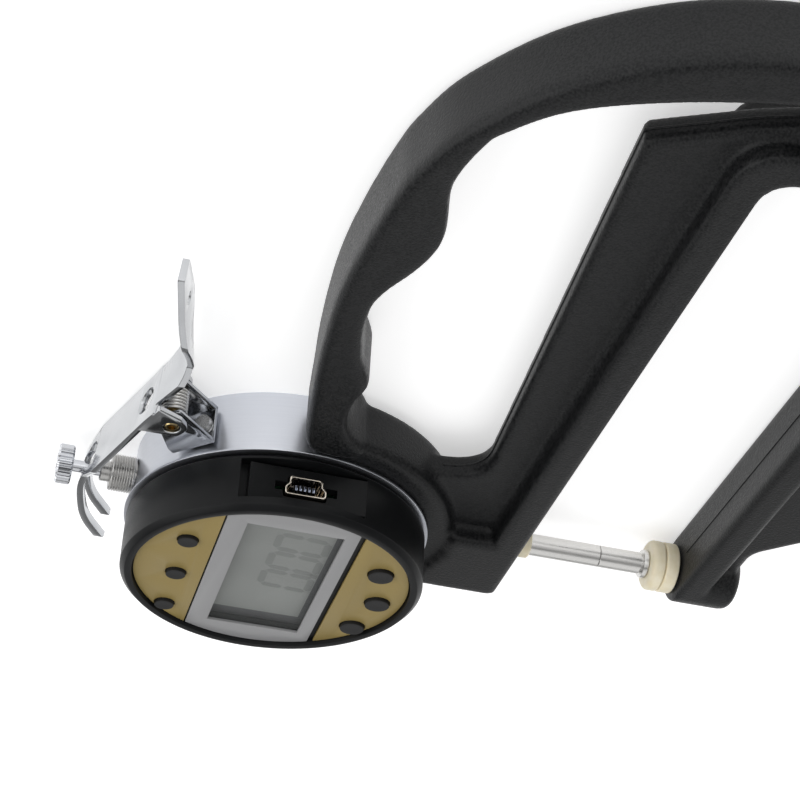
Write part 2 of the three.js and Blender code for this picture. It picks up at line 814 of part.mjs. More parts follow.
const bandOpening = block(
  [-windowHalfWidth, windowBottom, faceBottom - overrun],
  [windowHalfWidth, windowTop, faceTop + overrun],
);
const band = plate(faceSegment(faceRadius, bandBottom, bandTop), faceBottom, faceTop, fine);
add('window_band', cut(band, bandOpening), 'band');
add('window_lens', block(
  [-windowHalfWidth - lensMargin, windowBottom - lensMargin, webBottom],
  [windowHalfWidth + lensMargin, windowTop + lensMargin, webTop],
), 'lens');
const glassX = windowHalfWidth + glassMargin;
const glassLow = windowBottom - glassMargin;
const glassHigh = windowTop + glassMargin;
add('display_glass', block([-glassX, glassLow, glassBottom], [glassX, glassHigh, glassTop]), 'display');
const stripX = windowHalfWidth - lensMargin;
const contactStrip = (low) => block(
  [-stripX, low, boardTop + seat], [stripX, low + stripWidth, glassBottom - seat],
);
add('contact_strip_upper', contactStrip(glassHigh - stripWidth), 'rubber');
add('contact_strip_lower', contactStrip(glassLow), 'rubber');

// Buttons: a cap through the face, a flange behind the web and a stem over its keypad dome
function button(x, y, radius) {
  const top = faceTop + buttonProud;
  const under = webBottom - seat;
  const foot = under - buttonFlange - buttonStemLength;
  return solidOf(turned([
    [0, foot], [buttonStemRadius, foot], [buttonStemRadius, under - buttonFlange],
    [radius + buttonLip, under - buttonFlange], [radius + buttonLip, under], [radius, under],
    [radius, top - sheetEdge], [radius - sheetEdge, top], [0, top],
  ], fine).rotateX(Math.PI / 2).translate(x, y, 0));
}

function keypad(row) {
  const domeTop = webBottom - seat - buttonFlange - buttonStemLength - buttonTravel - seat;
  const xs = row.map(([, x]) => x);
  const ys = row.map(([, , y]) => y);
  const half = keypadWidth / 2;
  const strip = block(
    [Math.min(...xs) - half, Math.min(...ys) - half / 2, boardTop + seat],
    [Math.max(...xs) + half, Math.max(...ys) + half / 2, boardTop + seat + keypadBase],
  );
  const domes = row.map(([, x, y]) => (
    bar('z', buttonStemRadius, boardTop + seat + keypadBase / 2, domeTop, [x, y])
  ));
  const disc = bar('z', boardRadius, boardTop - overrun, webBottom, [0, 0], coarse);
  return join(strip.intersect(disc), ...domes);
}

buttons.forEach(([name, x, y, radius]) => add(name, button(x, y, radius), 'rubber'));
add('keypad_upper', keypad(buttons.slice(0, 3)), 'rubber');
add('keypad_lower', keypad(buttons.slice(3)), 'rubber');

// Main board, battery and measuring head
const boardRight = panelPlane - panelThickness - 2 * fit;

function mainBoard() {
  const disc = bar('z', boardRadius, boardHeight, boardTop, [0, 0], coarse);
  return cut(
    disc,
    ...housingPosts.map((place) => (
      bar('z', housingPostRadius + fit, boardHeight - overrun, boardTop + overrun, place)
    )),
    block([boardRight, -boardRadius, boardHeight - overrun],
      [boardRadius + overrun, boardRadius, boardTop + overrun]),
  );
}

add('main_board', mainBoard(), 'board');

add('battery', bar('z', batteryRadius, batteryLow, batteryTop, [batteryX, 0], medium), 'chrome');

function batteryClip() {
  const top = boardHeight - seat;
  const reach = batteryRadius + fit;
  const [left, right] = [batteryX - clipWidth / 2, batteryX + clipWidth / 2];
  const bridge = block([left, -reach - clipSheet, top - clipSheet], [right, reach + clipSheet, top]);
  const arm = (low) => block([left, low, batteryLow], [right, low + clipSheet, top]);
  return join(bridge, arm(reach), arm(-reach - clipSheet));
}

add('battery_clip', batteryClip(), 'steel');

const shelfTop = shelfHeight + shelfThickness;
const scaleTop = shelfTop + seat + scaleThickness;
add('scale_plate', block(
  [-carriageHalf, -shelfHalfLength, shelfTop + seat], [shelfRight, shelfHalfLength, scaleTop],
), 'board');
add('sensor_head', block(
  [-carriageHalf, -shelfHalfLength, scaleTop + fit],
  [shelfRight, shelfHalfLength, boardHeight - seat],
), 'plastic');

function carriage() {
  const low = spindleHeight - carriageHalf;
  const hub = block([-carriageHalf, carriageBottom, low],
    [carriageHalf, carriageBottom + carriageLength, shelfHeight + seat]);
  const shelf = block([-carriageHalf, -shelfHalfLength, shelfHeight],
    [shelfRight, shelfHalfLength, shelfTop]);
  return cut(
    join(hub, shelf),
    bar('y', spindleRadius + seat, carriageBottom - overrun, shelfHalfLength + overrun, onSpindle),
    bar('x', guidePinRadius + seat, -carriageHalf - overrun, 0, [guidePinY, spindleHeight]),
  );
}

add('carriage', carriage(), 'bronze');
const pinInner = -spindleRadius - fit;
add('guide_pin', bar('x', guidePinRadius, pinInner - guidePinLength, pinInner,
  [guidePinY, spindleHeight]), 'steel');

// Spindle line
const contactTop = contactMeet + contactGap + contactThickness;
const extensionTop = spindleJoint - seat;
const studTop = contactTop + contactStudLength;
const extensionRod = cut(
  bar('y', spindleRadius, contactTop + seat, extensionTop, onSpindle, medium),
  bar('y', contactStudRadius + seat, contactTop - overrun, studTop + seat, onSpindle),
);
const spindleBar = cut(
  bar('y', spindleRadius, spindleJoint, spindleTop, onSpindle, medium),
  bar('y', rodRadius + seat, spindleTop - rodSocketDepth, spindleTop + overrun, onSpindle),
);
add('spindle', spindleBar, 'steel');
add('extension_rod', extensionRod, 'steel');
const knobTop = knobBottom + knobLength;
add('lift_rod', bar('y', rodRadius, spindleTop - rodSocketDepth + seat, knobTop - fit, onSpindle), 'chrome');

function knob() {
  const star = new THREE.Shape();
  for (let i = 0; i < 2 * knobTeeth; i++) {
    const angle = i / knobTeeth * Math.PI;
    const radius = i % 2 ? knobRadius * knobToothShare : knobRadius;
    const point = [radius * Math.cos(angle), radius * Math.sin(angle)];
    if (i === 0) star.moveTo(...point);
    else star.lineTo(...point);
  }
  star.closePath();
  const body = roundedPlate(star, 0, knobLength, sheetEdge, sheetEdge, 1, 1).rotate([-90, 0, 0])
    .translate([0, knobBottom, spindleHeight]);
  return cut(body, bar('y', rodRadius + seat, knobBottom - overrun, knobTop + overrun, onSpindle));
}

add('lift_knob', knob(), 'chrome');

// A contact disc with a stud that enters the piece that carries it
function contact(face, direction, studRadius, studLength) {
  const edge = contactEdge;
  return turnedOnSpindle([
    [0, face], [contactRadius - edge, face], [contactRadius, face + direction * edge],
    [contactRadius, face + direction * (contactThickness - edge)],
    [contactRadius - edge, face + direction * contactThickness],
    [studRadius, face + direction * contactThickness],
    [studRadius, face + direction * (contactThickness + studLength)],
    [0, face + direction * (contactThickness + studLength)],
  ]);
}

// A profile that runs downwards turns the surface inside out, so it is built upwards and mirrored
function anvilContact() {
  const upright = contact(0, 1, anvilBore - fit, anvilShankLength - fit)
    .translate([0, 0, -spindleHeight]);
  return upright.rotate([180, 0, 0]).translate([0, contactMeet, spindleHeight]);
}

add('moving_contact', contact(contactMeet + contactGap, 1, contactStudRadius, contactStudLength), 'ceramic');
add('anvil_contact', anvilContact(), 'ceramic');
const anvilScrewTop = throatBottom - anvilShankLength - fit;
const anvilScrewLength = anvilScrewTop - noseBottom - fit;
add('anvil_screw', setScrew(anvilScrewRadius, anvilScrewLength).rotate([180, 0, 0])
  .translate([0, anvilScrewTop - anvilScrewLength / 2, spindleHeight]), 'steel');

// Threaded collar that closes the top of the case and guides the lift rod
const collarBottom = caseRadius + seat;
const collarShankEnd = collarBottom - collarShankLength;

function collar() {
  const pitch = (collarTop - collarBottom) / (collarThreads + 1);
  const ridges = [];
  for (let i = 0; i < collarThreads; i++) {
    const start = collarBottom + pitch * (i + 0.5);
    ridges.push([collarRadius, start], [collarRadius - threadDepth, start + pitch / 2]);
  }
  const bore = rodRadius + fit;
  return turnedOnSpindle([
    [bore, collarShankEnd], [collarShankRadius, collarShankEnd],
    [collarShankRadius, collarBottom], [collarRadius, collarBottom], ...ridges,
    [collarRadius - threadDepth, collarTop], [collarBossRadius, collarTop],
    [collarBossRadius, collarTop + collarBossLength], [bore, collarTop + collarBossLength],
    [bore, collarShankEnd],
  ], medium);
}

add('top_collar', collar(), 'steel');

// Return spring between the carriage and the collar
const springBottom = carriageBottom + carriageLength + springWire / 2 + fit;
const springTop = collarShankEnd - springWire / 2 - fit;
const springPitch = (springTop - springBottom) / springTurns;
const returnSpring = helixWire(springRadius, springWire, springPitch, springTurns);
returnSpring.translate(0, springBottom, spindleHeight);
add('return_spring', solidOf(returnSpring), 'steel');
console.log('least gap between the coils of the return spring', springPitch - springWire);

// Data port: a flat panel in the housing wall, a drawn shell and its contact tongue
function shellShape(grow) {
  const [wide, neck] = [shellWidth / 2 + grow, shellNeck / 2 + grow];
  const half = shellHeight / 2 + grow;
  const corner = shellWall * 2;
  return outline([
    [-neck, -half, corner], [neck, -half, corner], [neck, -half / 4, corner],
    [wide, half / 4, corner], [wide, half, corner], [-wide, half, corner],
    [-wide, half / 4, corner], [-neck, -half / 4, corner],
  ]);
}

// Stands a flat shape of the port upright, so that it faces along X from one place to another
function portSolid(shape, from, to) {
  return plate(shape, from, to, 3).rotate([90, 0, 90]).translate([0, portY, portHeight]);
}

function portPanel() {
  const back = panelPlane - panelThickness;
  const slab = block([back, panelBottom, panelRear], [panelPlane, panelTop, panelFront]);
  const notch = (side) => {
    const y = portY + side * (shellWidth / 2 + panelNotch / 2);
    return block(
      [panelPlane - panelThickness / 2, y - panelNotch / 2, portHeight - panelNotch / 2],
      [panelPlane + overrun, y + panelNotch / 2, portHeight + panelNotch / 2],
    );
  };
  const opening = portSolid(shellShape(fit), back - overrun, panelPlane + overrun);
  return cut(slab, opening, notch(1), notch(-1));
}

add('port_panel', portPanel(), 'plastic');
const shellFront = panelPlane + shellProud;
const shellBack = shellFront - shellDepth;
add('port_shell', cut(
  portSolid(shellShape(0), shellBack, shellFront),
  portSolid(shellShape(-shellWall), shellBack + shellWall, shellFront + overrun),
), 'chrome');
const tongueHalf = [tongueWidth / 2, tongueThickness / 2];
add('port_tongue', block(
  [shellBack + shellWall + seat, portY - tongueHalf[0], portHeight - tongueHalf[1]],
  [panelPlane, portY + tongueHalf[0], portHeight + tongueHalf[1]],
), 'plastic');

// Lever: one stamped sheet bent into a fork, a plate, two ears and a thumb blade
const plateAt = (x) => pivotY + leverStandoff + leverSlopeShare * (x - pivotX);
const bladeAt = (x) => plateAt(vertexX) + bladeSlopeShare * (x - vertexX);

// The sheet's cant across its width, which twists back at the bend and out again along the blade
function cantAt(x) {
  const { smoothstep, lerp } = THREE.MathUtils;
  const bent = lerp(leverCantShare, vertexCantShare, smoothstep(x, pivotX, vertexX));
  return lerp(bent, bladeCantShare, smoothstep(x, vertexX, bladeHoleX));
}

// Draws a straight run of the sheet in short stretches, so that it can be canted
function drawRun(shape, heightAt, from, to) {
  for (let step = 1; step <= leverStretches; step++) {
    const x = from + (to - from) * step / leverStretches;
    shape.lineTo(x, heightAt(x));
  }
}

function leverProfile() {
  const shape = new THREE.Shape();
  const bend = leverSheet * 2;
  const forkStart = innerHoleX + leverHoleRadius;
  const [bendStart, bendEnd] = [vertexX - bend, vertexX + bend];
  shape.moveTo(forkEndX, plateAt(0) - leverSheet * 5.1);
  shape.splineThru(vectors([
    [forkEndX * 0.76, plateAt(0) - leverSheet * 3], [forkEndX * 0.47, plateAt(0) - leverSheet * 1.6],
    [0, plateAt(0) - leverSheet * 0.7], [forkStart, plateAt(forkStart)],
  ]));
  drawRun(shape, plateAt, forkStart, bendStart);
  shape.quadraticCurveTo(vertexX, plateAt(vertexX), bendEnd, bladeAt(bendEnd));
  drawRun(shape, bladeAt, bendEnd, bladeEndX);
  shape.lineTo(bladeEndX, bladeAt(bladeEndX) - leverSheet);
  drawRun(shape, (x) => bladeAt(x) - leverSheet, bladeEndX, bendEnd);
  shape.quadraticCurveTo(vertexX, plateAt(vertexX) - leverSheet,
    bendStart, plateAt(bendStart) - leverSheet);
  drawRun(shape, (x) => plateAt(x) - leverSheet, bendStart, forkStart);
  shape.splineThru(vectors([
    [0, plateAt(0) - leverSheet * 1.7], [forkEndX * 0.47, plateAt(0) - leverSheet * 2.7],
    [forkEndX * 0.72, plateAt(0) - leverSheet * 4], [forkEndX * 0.94, plateAt(0) - leverSheet * 6],
  ]));
  shape.closePath();
  return shape;
}

// Plan of the sheet, seen along Y: x and distance from the middle plane. Beyond the ears it is
// relieved on both sides, and on the side of the dial it has a waist at the bend.
function leverPlan() {
  const fork = [
    [forkEndX - leverSheet, forkHalf], [innerHoleX - leverHoleRadius, forkHalf],
    [innerHoleX + leverHoleRadius, leverHalf],
  ];
  const neckX = pivotX + pinRadius * 2 + leverSheet;
  const relief = (half) => [[neckX, leverHalf], [neckX, half], [vertexX - leverSheet * 3, half]];
  const waist = [
    [vertexX, waistHalf], [vertexX + waistReach / 2, neckHalf], [vertexX + waistReach, leverHalf],
  ];
  const blade = [[bladeEndX - bladeTaper, leverHalf], [bladeEndX, bladeEndHalf]];
  const back = [...fork, ...relief(backNeckHalf), [vertexX, leverHalf], ...blade];
  const front = [...fork, ...relief(neckHalf), ...waist, ...blade].map(([x, z]) => [x, -z]);
  const corners = [...back, ...front.reverse()].map(([x, z]) => [x, z, leverSheet / 2]);
  return outline(corners);
}

// The bent sheet before it is cut to its plan, canted and twisted
function leverBlank(low, high) {
  const sheet = new THREE.ExtrudeGeometry(leverProfile(), {
    depth: high - low, bevelEnabled: false, curveSegments: 4,
  }).translate(0, 0, low);
  const places = sheet.attributes.position;
  for (let i = 0; i < places.count; i++) {
    const across = places.getZ(i) - spindleHeight;
    places.setY(i, places.getY(i) + cantAt(places.getX(i)) * across);
  }
  return solidOf(sheet);
}

function leverSolid() {
  const [low, high] = [spindleHeight - leverHalf - overrun, spindleHeight + leverHalf + overrun];
  const [under, over] = [pivotY - leverHalf, plateAt(0) + leverHalf];
  const upright = (shape) => plate(shape, under, over).rotate([-90, 0, 0])
    .translate([0, 0, spindleHeight]);
  const slot = outline([
    [forkEndX - overrun * 2, -slotHalf], [innerHoleX, -slotHalf], [innerHoleX, slotHalf],
    [forkEndX - overrun * 2, slotHalf],
  ]);
  const hole = (radius, x) => bar('y', radius, under, over, [x, spindleHeight]);
  const sheet = cut(
    leverBlank(low, high).intersect(upright(leverPlan())),
    upright(slot),
    hole(leverHoleRadius, innerHoleX),
    hole(leverHoleRadius, outerHoleX),
    hole(bladeHoleRadius, bladeHoleX),
  );
  return cut(
    join(sheet, leverEar(1), leverEar(-1)),
    bar('z', pinRadius + fit, low, high, [pivotX, pivotY]),
  );
}

function leverEar(side) {
  const outward = side * (leverHalf - leverSheet / 2);
  const top = (x) => plateAt(x) + cantAt(x) * outward - leverSheet / 2;
  const [earLeft, earRight] = [pivotX - earBefore, pivotX + earBeyond];
  const shape = outline([
    [earLeft, top(earLeft)], [pivotX - earRadius, pivotY - earRadius * 0.6, earRadius * 0.6],
    [pivotX + earRadius * 0.2, pivotY - earRadius * 1.15, earRadius * 0.7],
    [pivotX + earRadius, pivotY - earRadius * 0.5, earRadius * 0.5], [earRight, top(earRight)],
  ]);
  const inner = spindleHeight + side * (leverHalf - leverSheet);
  const outer = spindleHeight + side * leverHalf;
  return plate(shape, Math.min(inner, outer), Math.max(inner, outer));
}

add('lifting_lever', leverSolid(), 'chrome');
add('lever_pin', bar('z', pinRadius, spindleHeight - pinHalf, spindleHeight + pinHalf,
  [pivotX, pivotY]), 'steel');

// Bracket: a bent U with pointed ears, screwed to the side of the case
function bracket() {
  const tip = bracketFoot + bracketReach;
  const shoulder = bracketFoot + bracketSheet * 2;
  const corner = bracketSheet;
  const ear = (side) => {
    const points = [
      [bracketFoot, bracketRight], [tip, bracketRight, corner], [tip, bracketLeft / 4, corner * 2],
      [shoulder, bracketLeft, corner], [bracketFoot, bracketLeft],
    ].map(([out, across, radius]) => [...onBracket(out, across), radius]);
    const inner = spindleHeight + side * (bracketHalf - bracketSheet);
    const outer = spindleHeight + side * bracketHalf;
    return plate(outline(points), Math.min(inner, outer), Math.max(inner, outer));
  };
  const base = plate(outline([
    onBracket(bracketFoot, bracketRight), onBracket(bracketFoot + bracketSheet, bracketRight),
    onBracket(bracketFoot + bracketSheet, bracketLeft), onBracket(bracketFoot, bracketLeft),
  ]), spindleHeight - bracketHalf, spindleHeight + bracketHalf);
  return cut(
    join(base, ear(1), ear(-1)),
    bar('z', pinRadius + fit, 0, 2 * spindleHeight, [pivotX, pivotY]),
    ...bracketScrews.map((across) => (
      bracketBar(screwRadius + fit, bracketFoot - overrun, bracketFoot + 2 * overrun, across)
    )),
  );
}

add('lever_bracket', bracket(), 'chrome');
bracketScrews.forEach((across, i) => {
  const under = bracketFoot + bracketSheet + seat;
  const screw = join(
    bracketBar(screwHeadRadius, under, under + screwHeadDepth, across),
    bracketBar(screwRadius, caseInner + fit, under + seat, across),
  );
  add(`bracket_screw_${i + 1}`, screw, 'steel');
});

// Torsion spring round the lever pin
const torsionLength = torsionPitch * torsionTurns;
const torsion = helixWire(torsionRadius, torsionWire, torsionPitch, torsionTurns);
torsion.translate(0, -torsionLength / 2, 0).rotateX(Math.PI / 2);
torsion.translate(pivotX, pivotY, spindleHeight);
add('lever_spring', solidOf(torsion), 'steel');
console.log('least gap between the coils of the lever spring', torsionPitch - torsionWire);

export default gauge;
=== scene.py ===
# Deep throat thickness gauge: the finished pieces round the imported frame, in metres
import json
from math import cos, pi, radians, sin, tan

import bmesh
import bpy
from mathutils import Matrix, Vector


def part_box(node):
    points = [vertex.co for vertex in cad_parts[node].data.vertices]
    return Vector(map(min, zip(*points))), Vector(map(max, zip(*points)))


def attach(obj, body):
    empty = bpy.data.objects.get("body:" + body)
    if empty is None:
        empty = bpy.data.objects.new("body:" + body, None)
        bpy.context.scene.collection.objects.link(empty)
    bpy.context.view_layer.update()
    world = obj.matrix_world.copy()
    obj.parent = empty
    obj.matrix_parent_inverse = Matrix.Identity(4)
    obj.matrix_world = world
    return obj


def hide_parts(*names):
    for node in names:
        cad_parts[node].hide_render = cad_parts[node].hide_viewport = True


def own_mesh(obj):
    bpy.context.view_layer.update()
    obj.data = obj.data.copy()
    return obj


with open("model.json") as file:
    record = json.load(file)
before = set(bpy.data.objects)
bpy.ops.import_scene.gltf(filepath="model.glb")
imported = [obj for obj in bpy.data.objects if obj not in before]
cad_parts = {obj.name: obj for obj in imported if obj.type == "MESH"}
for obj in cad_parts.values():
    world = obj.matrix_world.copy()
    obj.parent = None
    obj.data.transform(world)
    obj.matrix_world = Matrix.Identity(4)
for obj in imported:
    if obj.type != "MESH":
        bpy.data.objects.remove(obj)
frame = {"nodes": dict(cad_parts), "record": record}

mm = 0.001
core = 0.2 * mm  # a turned piece starts this far off its axis, and the hole is filled
wideCore = 0.5 * mm  # the same for a wide plate
far = 60 * mm  # past every piece, for the blocks that cut
cutLow, cutHigh = 20 * mm, 30 * mm  # heights between which the front's openings are cut
weldGap = 0.002 * mm
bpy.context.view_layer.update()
bpy.ops.object.select_all(action="DESELECT")
print("frame loaded")


def inMm(lengths, **others):
    # a piece's sizes, written in millimetres, and what isn't a length as it is
    return {name: length * mm for name, length in lengths.items()} | others


def newObject(name, data):
    made = bpy.data.objects.new(name, data)
    bpy.context.scene.collection.objects.link(made)
    return made


# camera: place, the image's right and down directions, and the lens, all from the photograph
cameraSettings = {
    "place": (346.44 * mm, 58.45 * mm, 207.95 * mm),
    "right": (0.25862, -0.96485, -0.04664),
    "down": (-0.51385, -0.17830, 0.83915),
    "lens": 92.75,
    "sensor": 36,
}


def makeCamera():
    data = bpy.data.cameras.new("photoCamera")
    data.lens = cameraSettings["lens"]
    data.sensor_width = cameraSettings["sensor"]
    data.clip_start = 0.01
    data.clip_end = 10
    camera = newObject("photoCamera", data)
    right = Vector(cameraSettings["right"]).normalized()
    up = -Vector(cameraSettings["down"]).normalized()
    back = right.cross(up)
    turn = Matrix((right, up, back)).transposed().to_4x4()
    camera.matrix_world = Matrix.Translation(cameraSettings["place"]) @ turn
    bpy.context.scene.camera = camera


makeCamera()
print("camera placed")


# finishes: every surface gets its own nodes, with patterns on object coordinates

def newFinish(name, colour, roughness, metallic=0.0, **more):
    look = bpy.data.materials.new(name)
    look.use_nodes = True
    shader = look.node_tree.nodes["Principled BSDF"]
    shader.inputs["Base Color"].default_value = (*colour, 1)
    shader.inputs["Roughness"].default_value = roughness
    shader.inputs["Metallic"].default_value = metallic
    for socket, value in more.items():
        shader.inputs[socket.replace("_", " ")].default_value = value
    return look


def addNode(look, kind, place=(0, 0), sockets=None, **settings):
    # sockets holds fixed values and the outputs that are wired in
    node = look.node_tree.nodes.new("ShaderNode" + kind)
    node.location = place
    for key, value in settings.items():
        setattr(node, key, value)
    for key, value in (sockets or {}).items():
        if isinstance(value, bpy.types.NodeSocket):
            look.node_tree.links.new(value, node.inputs[key])
        else:
            node.inputs[key].default_value = value
    return node


def drive(look, source, socket):
    look.node_tree.links.new(source, look.node_tree.nodes["Principled BSDF"].inputs[socket])


def objectPattern(look, scale=(1, 1, 1), turn=(0, 0, 0)):
    spot = addNode(look, "TexCoord", (-1400, 0)).outputs["Object"]
    sockets = {"Rotation": turn, "Scale": scale, "Vector": spot}
    return addNode(look, "Mapping", (-1200, 0), sockets).outputs["Vector"]


def noise(look, size, detail=3, stretch=(1, 1, 1), turn=(0, 0, 0)):
    # size is the width of one grain in millimetres
    sockets = {"Scale": 1 / (size * mm), "Detail": detail, "Vector": objectPattern(look, stretch, turn)}
    return addNode(look, "TexNoise", (-950, -200), sockets).outputs["Fac"]


def ramp(look, source, tones, places=(0.3, 0.7)):
    node = addNode(look, "ValToRGB", (-650, 100), {"Fac": source})
    band = node.color_ramp
    while len(band.elements) < len(tones):
        band.elements.new(0.5)
    for element, place, tone in zip(band.elements, places, tones):
        element.position = place
        element.color = (*tone, 1)
    return node.outputs["Color"]


def colourFrom(look, source, *ramped):
    drive(look, ramp(look, source, *ramped), "Base Color")


def roughnessFrom(look, source, low, high):
    drive(look, ramp(look, source, [(low,) * 3, (high,) * 3]), "Roughness")


def bumpFrom(look, source, strength, depth, below=None):
    # depth is in millimetres, and below is the normal of a coarser bump
    sockets = {"Strength": strength, "Distance": depth * mm, "Height": source}
    if below is not None:
        sockets["Normal"] = below
    bump = addNode(look, "Bump", (-300, -300), sockets).outputs["Normal"]
    drive(look, bump, "Normal")
    return bump


def shades(tone, spread):
    # a little darker and a little lighter than the tone
    return [tuple(share * c for c in tone) for share in (1 - spread, 1 + spread)]


def grainFinish(name, tone, roughness, tones, grain, rough=None, bump=None, broad=None,
                places=(0.3, 0.7), **more):
    # one grain for gloss and bump, and a broad one for the colour where it has its own
    look = newFinish(name, tone, roughness, **more)
    fine = noise(look, *grain)
    colourFrom(look, noise(look, *broad) if broad else fine, tones, places)
    if rough:
        roughnessFrom(look, fine, *rough)
    if bump:
        bumpFrom(look, fine, *bump)
    return look


def castingPaint():
    look = newFinish("castingPaint", (0.008, 0.0085, 0.009), 0.4, Specular_IOR_Level=0.24)
    grain = noise(look, 0.4, 4)
    colourFrom(look, grain, [(0.0025, 0.003, 0.0035), (0.0165, 0.0168, 0.0175)], (0.38, 0.62))
    roughnessFrom(look, grain, 0.31, 0.54)
    coarse = bumpFrom(look, noise(look, 1.4, 2), 0.3, 0.04)
    bumpFrom(look, grain, 0.85, 0.11, coarse)
    return look


def drumSatin():
    look = newFinish("drumSatin", (0.68, 0.7, 0.75), 0.3, 1.0)
    rings = noise(look, 0.3, 2, stretch=(0.02, 0.02, 1))
    colourFrom(look, rings, [(0.67, 0.69, 0.74), (0.69, 0.71, 0.76)])
    roughnessFrom(look, noise(look, 0.4), 0.28, 0.36)
    bumpFrom(look, rings, 0.12, 0.003)
    return look


def chromePlate(name="chromePlate", tone=(0.54, 0.55, 0.575)):
    look = newFinish(name, tone, 0.14, 1.0)
    broad = noise(look, 6, 2)
    scratch = noise(look, 0.12, stretch=(0.12, 1, 1), turn=(0, 0, 0.3))
    colourFrom(look, broad, shades(tone, 0.05))
    roughnessFrom(look, scratch, 0.1, 0.19)
    soft = bumpFrom(look, broad, 0.25, 0.015)
    bumpFrom(look, scratch, 0.08, 0.002, soft)
    return look


def groundSteel(name="groundSteel", stretch=(1, 0.02, 1), tone=0.7):
    high = (tone, tone * 0.985, tone * 0.96)
    low = (tone * 0.9, tone * 0.89, tone * 0.87)
    return grainFinish(name, high, 0.3, [low, high], (0.14, 3, stretch), (0.24, 0.36), (0.12, 0.003),
                       metallic=1.0)


def housingPlastic():
    return grainFinish("housingPlastic", (0.0062, 0.0067, 0.0072), 0.36,
                       [(0.0052, 0.0056, 0.0061), (0.0072, 0.0077, 0.0083)],
                       (0.16,), (0.3, 0.44), (0.3, 0.01), broad=(6, 2), Specular_IOR_Level=0.16)


def goldPrint():
    tone = (0.31, 0.23, 0.076)
    return grainFinish("goldPrint", tone, 0.42, [(0.265, 0.195, 0.061), tone, (0.355, 0.268, 0.094)],
                       (0.09,), (0.36, 0.5), (0.3, 0.006), places=(0.25, 0.5, 0.78), metallic=0.15)


def bandPrint():
    return grainFinish("bandPrint", (0.3, 0.3, 0.305), 0.35,
                       [(0.285, 0.285, 0.29), (0.315, 0.315, 0.32)], (0.12,), (0.3, 0.42), (0.2, 0.005))


def displayGlass(name="displayGlass", tone=(0.3, 0.314, 0.3)):
    return grainFinish(name, tone, 0.3, shades(tone, 0.06), (0.1, 2), (0.26, 0.36), (0.15, 0.004),
                       broad=(14, 2))


def windowClear():
    return grainFinish("windowClear", (0.3, 0.31, 0.305), 0.04, [(0.28, 0.29, 0.285), (0.32, 0.33, 0.325)],
                       (8, 2), (0.03, 0.07), (0.1, 0.01), Alpha=0.12)


def softRubber(name="softRubber", tone=0.017):
    tones = [(tone * 0.85,) * 3, (tone * 1.15, tone * 1.15, tone * 1.2)]
    return grainFinish(name, (tone, tone, tone * 1.06), 0.6, tones, (0.12,), (0.5, 0.68), (0.4, 0.01),
                       Specular_IOR_Level=0.3)


def boardLaminate():
    look = newFinish("boardLaminate", (0.02, 0.14, 0.06), 0.38)
    tracks = addNode(look, "TexBrick", (-950, 300), {
        "Vector": objectPattern(look), "Scale": 1, "Brick Width": 3.2 * mm, "Row Height": 1.3 * mm,
        "Mortar Size": 0.16 * mm, "Color1": (0.016, 0.12, 0.05, 1), "Color2": (0.02, 0.145, 0.062, 1),
        "Mortar": (0.05, 0.23, 0.1, 1)})
    drive(look, tracks.outputs["Color"], "Base Color")
    roughnessFrom(look, noise(look, 0.3), 0.3, 0.45)
    bumpFrom(look, tracks.outputs["Fac"], 0.4, 0.02)
    return look


def ceramicGround():
    return grainFinish("ceramicGround", (0.86, 0.78, 0.58), 0.34, [(0.82, 0.73, 0.51), (0.89, 0.82, 0.64)],
                       (0.25,), (0.28, 0.46), (0.3, 0.01), broad=(1.6, 4), places=(0.25, 0.75),
                       Subsurface_Weight=0.1, Subsurface_Radius=(0.6 * mm, 0.5 * mm, 0.35 * mm))


def bronzeTurned():
    return grainFinish("bronzeTurned", (0.5, 0.33, 0.13), 0.3, [(0.42, 0.27, 0.1), (0.56, 0.38, 0.16)],
                       (0.18, 3, (0.05, 1, 0.05)), (0.22, 0.36), (0.25, 0.006), metallic=1.0)


def contactBrass():
    return grainFinish("contactBrass", (0.6, 0.47, 0.24), 0.24, [(0.54, 0.42, 0.2), (0.66, 0.52, 0.28)],
                       (0.1,), (0.14, 0.28), metallic=1.0)


def digitInk():
    return grainFinish("digitInk", (0.215, 0.226, 0.217), 0.4,
                       [(0.21, 0.221, 0.212), (0.22, 0.231, 0.222)], (0.2, 2))


finishes = {
    "casting": castingPaint(), "satin": drumSatin(), "chrome": chromePlate(), "steel": groundSteel(),
    "plastic": housingPlastic(), "gold": goldPrint(), "band": bandPrint(), "lens": windowClear(),
    "display": displayGlass(), "rubber": softRubber(), "board": boardLaminate(), "ceramic": ceramicGround(),
    "bronze": bronzeTurned(), "brass": contactBrass(), "ink": digitInk(),
    # a dark copy of the display glass: painted shadow where the window's rim shades the recessed display
    "displayShadowEdge": displayGlass("displayShadowEdge", (0.085, 0.086, 0.092)),
    # a darker copy of the chrome: painted shade for the dark surroundings the bracket's ears reflect
    "bracket": chromePlate("bracketShadedPlate", (0.4, 0.41, 0.43)),
    # a darker copy of the caps' rubber: painted shade for their side walls
    "capShadedSide": softRubber("capShadedSide", 0.006),
    "port": chromePlate("portPlate", (0.75, 0.68, 0.58)),
    "contact": chromePlate("contactPlate", (0.4, 0.44, 0.55)),
    "lever": chromePlate("leverPlate", (0.5, 0.51, 0.525)),
    "collar": groundSteel("collarSteel", (0.03, 1, 0.03), 0.5),
}
print("finishes made")


# modelling helpers

def pick(piece):
    bpy.ops.object.select_all(action="DESELECT")
    piece.select_set(True)
    bpy.context.view_layer.objects.active = piece


def editAll(piece):
    pick(piece)
    bpy.ops.object.mode_set(mode="EDIT")
    bpy.ops.mesh.select_all(action="SELECT")


def leaveEdit():
    bpy.ops.object.mode_set(mode="OBJECT")


